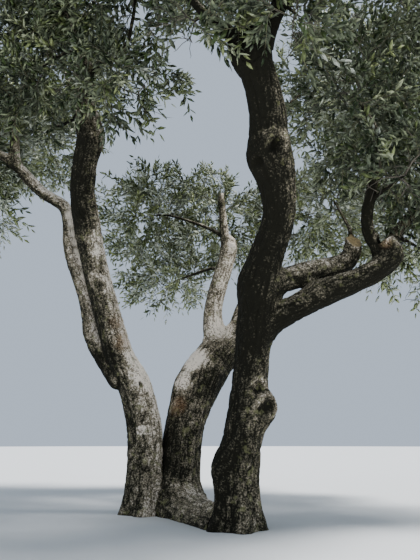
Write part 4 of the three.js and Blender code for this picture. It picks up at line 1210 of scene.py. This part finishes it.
def bark_mesh(name, parts):
    """The bark of some limbs, from a skin that is fitted to their girths and given its relief, with what its
    material reads at each point."""
    settings = bpy.context.scene.olive_bark
    mesh = skin_mesh(name, parts, settings.voxel)
    points = np.empty(len(mesh.vertices) * 3, np.float32)
    mesh.vertices.foreach_get("co", points)
    points = points.reshape(-1, 3).astype(float)
    on_ground = abs(points[:, 2]) < ON_GROUND

    def move(steps):
        """Moves the points, but not off the ground or into it."""
        points[:] += steps
        points[:, 2] = np.where(on_ground, 0, np.maximum(points[:, 2], ON_GROUND))

    for _ in range(FIT_STEPS):
        distance, out, *_ = joined_bark(points, parts, settings.collar)
        move(-out * np.clip(distance, -FIT_MOST, FIT_MOST)[:, None])
    _, out, grain, girth, sawn, weather_and_painted_light, seam = joined_bark(points, parts, settings.collar)
    height, ridge = bark_relief(grain, girth)
    move(out * (height * (1 - sawn))[:, None])
    mesh.vertices.foreach_set("co", points.astype(np.float32).ravel())
    pale, painted_shade, rust, bare = bark_spots(points)
    hollow, rim = scar_shares(points)
    store(mesh, "grain", grain)
    # Paleness: the limbs' bleaching with painted light and shade, paler facing the key light and darker away
    # from it, plus pale spots (partly painted light), painted shade spots and painted highlights on scar
    # rims.
    store(mesh, "weather_and_painted_light", weather_and_painted_light + (PAINTED_SUNLIGHT * (out @ SUNWARD) + pale - painted_shade + RIM_PAINTED_HIGHLIGHT * rim))
    store(mesh, "rust", rust)
    store(mesh, "bare", bare)
    # Painted shade where two limbs touch, in scar hollows and in fissures, which also sinks the bump.
    store(mesh, "painted_crease_shade", np.maximum(np.maximum(seam, hollow), CREASE_OF_FISSURES * (1 - ridge)))
    store(mesh, "sawn", sawn)
    mesh.update()
    mesh.materials.append(bark_material())
    mesh.calc_loop_triangles()
    mesh = modified(mesh, "DECIMATE", ratio=min(1, BARK_FACES / len(mesh.loop_triangles)))
    mesh.shade_smooth()
    return mesh


class OLIVE_OT_bark(bpy.types.Operator):
    """Covers the trunks and boughs with fissured bark that runs on over the joints"""

    bl_idname = "olive.bark"
    bl_label = "Bark"

    def execute(self, context):
        for name, names in BARKS.items():
            own_stems = [stem for mass, stem in stems().items() if MASSES[mass][0] in names]
            mesh = bark_mesh(name, [limbs()[limb] for limb in names] + own_stems)
            new_object(name, mesh, names)
        return {"FINISHED"}


class OLIVE_OT_twigs(bpy.types.Operator):
    """Spreads twigs through the masses of leaves, with the young shoots that carry the leaves"""

    bl_idname = "olive.twigs"
    bl_label = "Twigs"

    def execute(self, context):
        settings = context.scene.olive_leaf
        points, girths = (np.concatenate(part) for part in zip(*(twigs for twigs, _ in crown().values())))
        self.add_shafts("twig", points, girths, settings.twig, BARK_SLOT)
        points = np.concatenate([
            np.stack([spray_points(sprays, share)[0] for share in SHOOT_POINTS], axis=1)
            for _, sprays in crown().values()])
        self.add_shafts("shoot", points, np.tile(SHOOT_RADII, (len(points), 1)), settings.shoot, LEAF_SLOT)
        return {"FINISHED"}

    def add_shafts(self, kind, points, radii, colour, slot):
        """Adds all the twigs or shoots as one piece, in three tints."""
        name = kind + "s"
        materials = [plain(f"{kind}_{tint}", tuple(part * light for part in colour), ROUGHNESS[kind])
                     for tint, light in TWIG_TINTS.items()]
        new_object(name, shaft_mesh(name, points, radii, materials))


class OLIVE_OT_leaves(bpy.types.Operator):
    """Sets narrow leaves in opposite pairs along the shoots, dark above and silvery below"""

    bl_idname = "olive.leaves"
    bl_label = "Leaves"

    def execute(self, context):
        materials = [plain(f"{side}_{tint}", colours[row], ROUGHNESS[side])
                     for row, side in enumerate(("leaf", "underleaf")) for tint, colours in TINTS.items()]
        masses = list(MASSES)
        for name, (size, _, names) in LEAF_PIECES.items():
            grown = [grow_leaves(masses.index(mass), crown()[mass][1], size) for mass in names]
            leaves = [np.concatenate(part) for part in zip(*grown)]
            mesh = leaf_mesh(name, leaves, materials)
            new_object(name, mesh, ["leaves_" + mass for mass in names])
        return {"FINISHED"}


class OLIVE_OT_stage(bpy.types.Operator):
    """Sets the tree on a pale floor in soft studio light, before a camera that looks up into it"""

    bl_idname = "olive.stage"
    bl_label = "Stage"

    def execute(self, context):
        settings = context.scene.olive_stage
        self.lay_floor(settings)
        self.light(context, settings)
        self.aim(context, settings)
        return {"FINISHED"}

    def lay_floor(self, settings):
        bm = bmesh.new()
        bmesh.ops.create_circle(bm, cap_ends=True, segments=FLOOR_SIDES, radius=settings.floor)
        mesh = mesh_of(bm, "floor")
        mesh.materials.append(plain("floor", tuple(settings.floor_colour), ROUGHNESS["floor"]))
        linked("floor", mesh)

    def light(self, context, settings):
        world = bpy.data.worlds.new("studio")
        world.use_nodes = True
        background = world.node_tree.nodes["Background"]
        background.inputs["Color"].default_value = (*settings.sky, 1)
        background.inputs["Strength"].default_value = settings.sky_strength
        context.scene.world = world
        for name, (turn, angle, share) in LIGHTS.items():
            lamp = bpy.data.lights.new(name, "SUN")
            lamp.energy = settings.sun_strength * share
            lamp.angle = math.radians(angle)
            linked(name, lamp).rotation_euler = [math.radians(part) for part in turn]

    def aim(self, context, settings):
        lens = bpy.data.cameras.new("camera")
        lens.sensor_fit = "VERTICAL"
        lens.sensor_height = PICTURE_HEIGHT
        lens.lens = settings.lens
        camera = linked("camera", lens)
        camera.location = settings.eye
        camera.rotation_euler = (math.pi / 2 + settings.pitch, 0, 0)
        context.scene.camera = camera


class OLIVE_PT_tree(bpy.types.Panel):
    """Lists the tree's settings, each group with the buttons for the parts that it shapes"""

    bl_label = "Olive Tree"
    bl_space_type = "VIEW_3D"
    bl_region_type = "UI"
    bl_category = "Olive Tree"

    def draw(self, context):
        for settings, operators in ((context.scene.olive_bark, ("olive.bark",)),
                                    (context.scene.olive_leaf, ("olive.twigs", "olive.leaves")),
                                    (context.scene.olive_stage, ("olive.stage",))):
            box = self.layout.box()
            for name in type(settings).__annotations__:
                box.prop(settings, name)
            for operator in operators:
                box.operator(operator)


CLASSES = (OliveBarkSettings, OliveLeafSettings, OliveStageSettings, OLIVE_OT_bark, OLIVE_OT_twigs,
           OLIVE_OT_leaves, OLIVE_OT_stage, OLIVE_PT_tree)


def register():
    for item in CLASSES:
        bpy.utils.register_class(item)
    bpy.types.Scene.olive_bark = PointerProperty(type=OliveBarkSettings)
    bpy.types.Scene.olive_leaf = PointerProperty(type=OliveLeafSettings)
    bpy.types.Scene.olive_stage = PointerProperty(type=OliveStageSettings)


def unregister():
    del bpy.types.Scene.olive_bark
    del bpy.types.Scene.olive_leaf
    del bpy.types.Scene.olive_stage
    for item in reversed(CLASSES):
        bpy.utils.unregister_class(item)


def main():
    register()
    bpy.ops.olive.stage()
    bpy.ops.olive.bark()
    bpy.ops.olive.twigs()
    bpy.ops.olive.leaves()


if __name__ == "__main__":
    main()
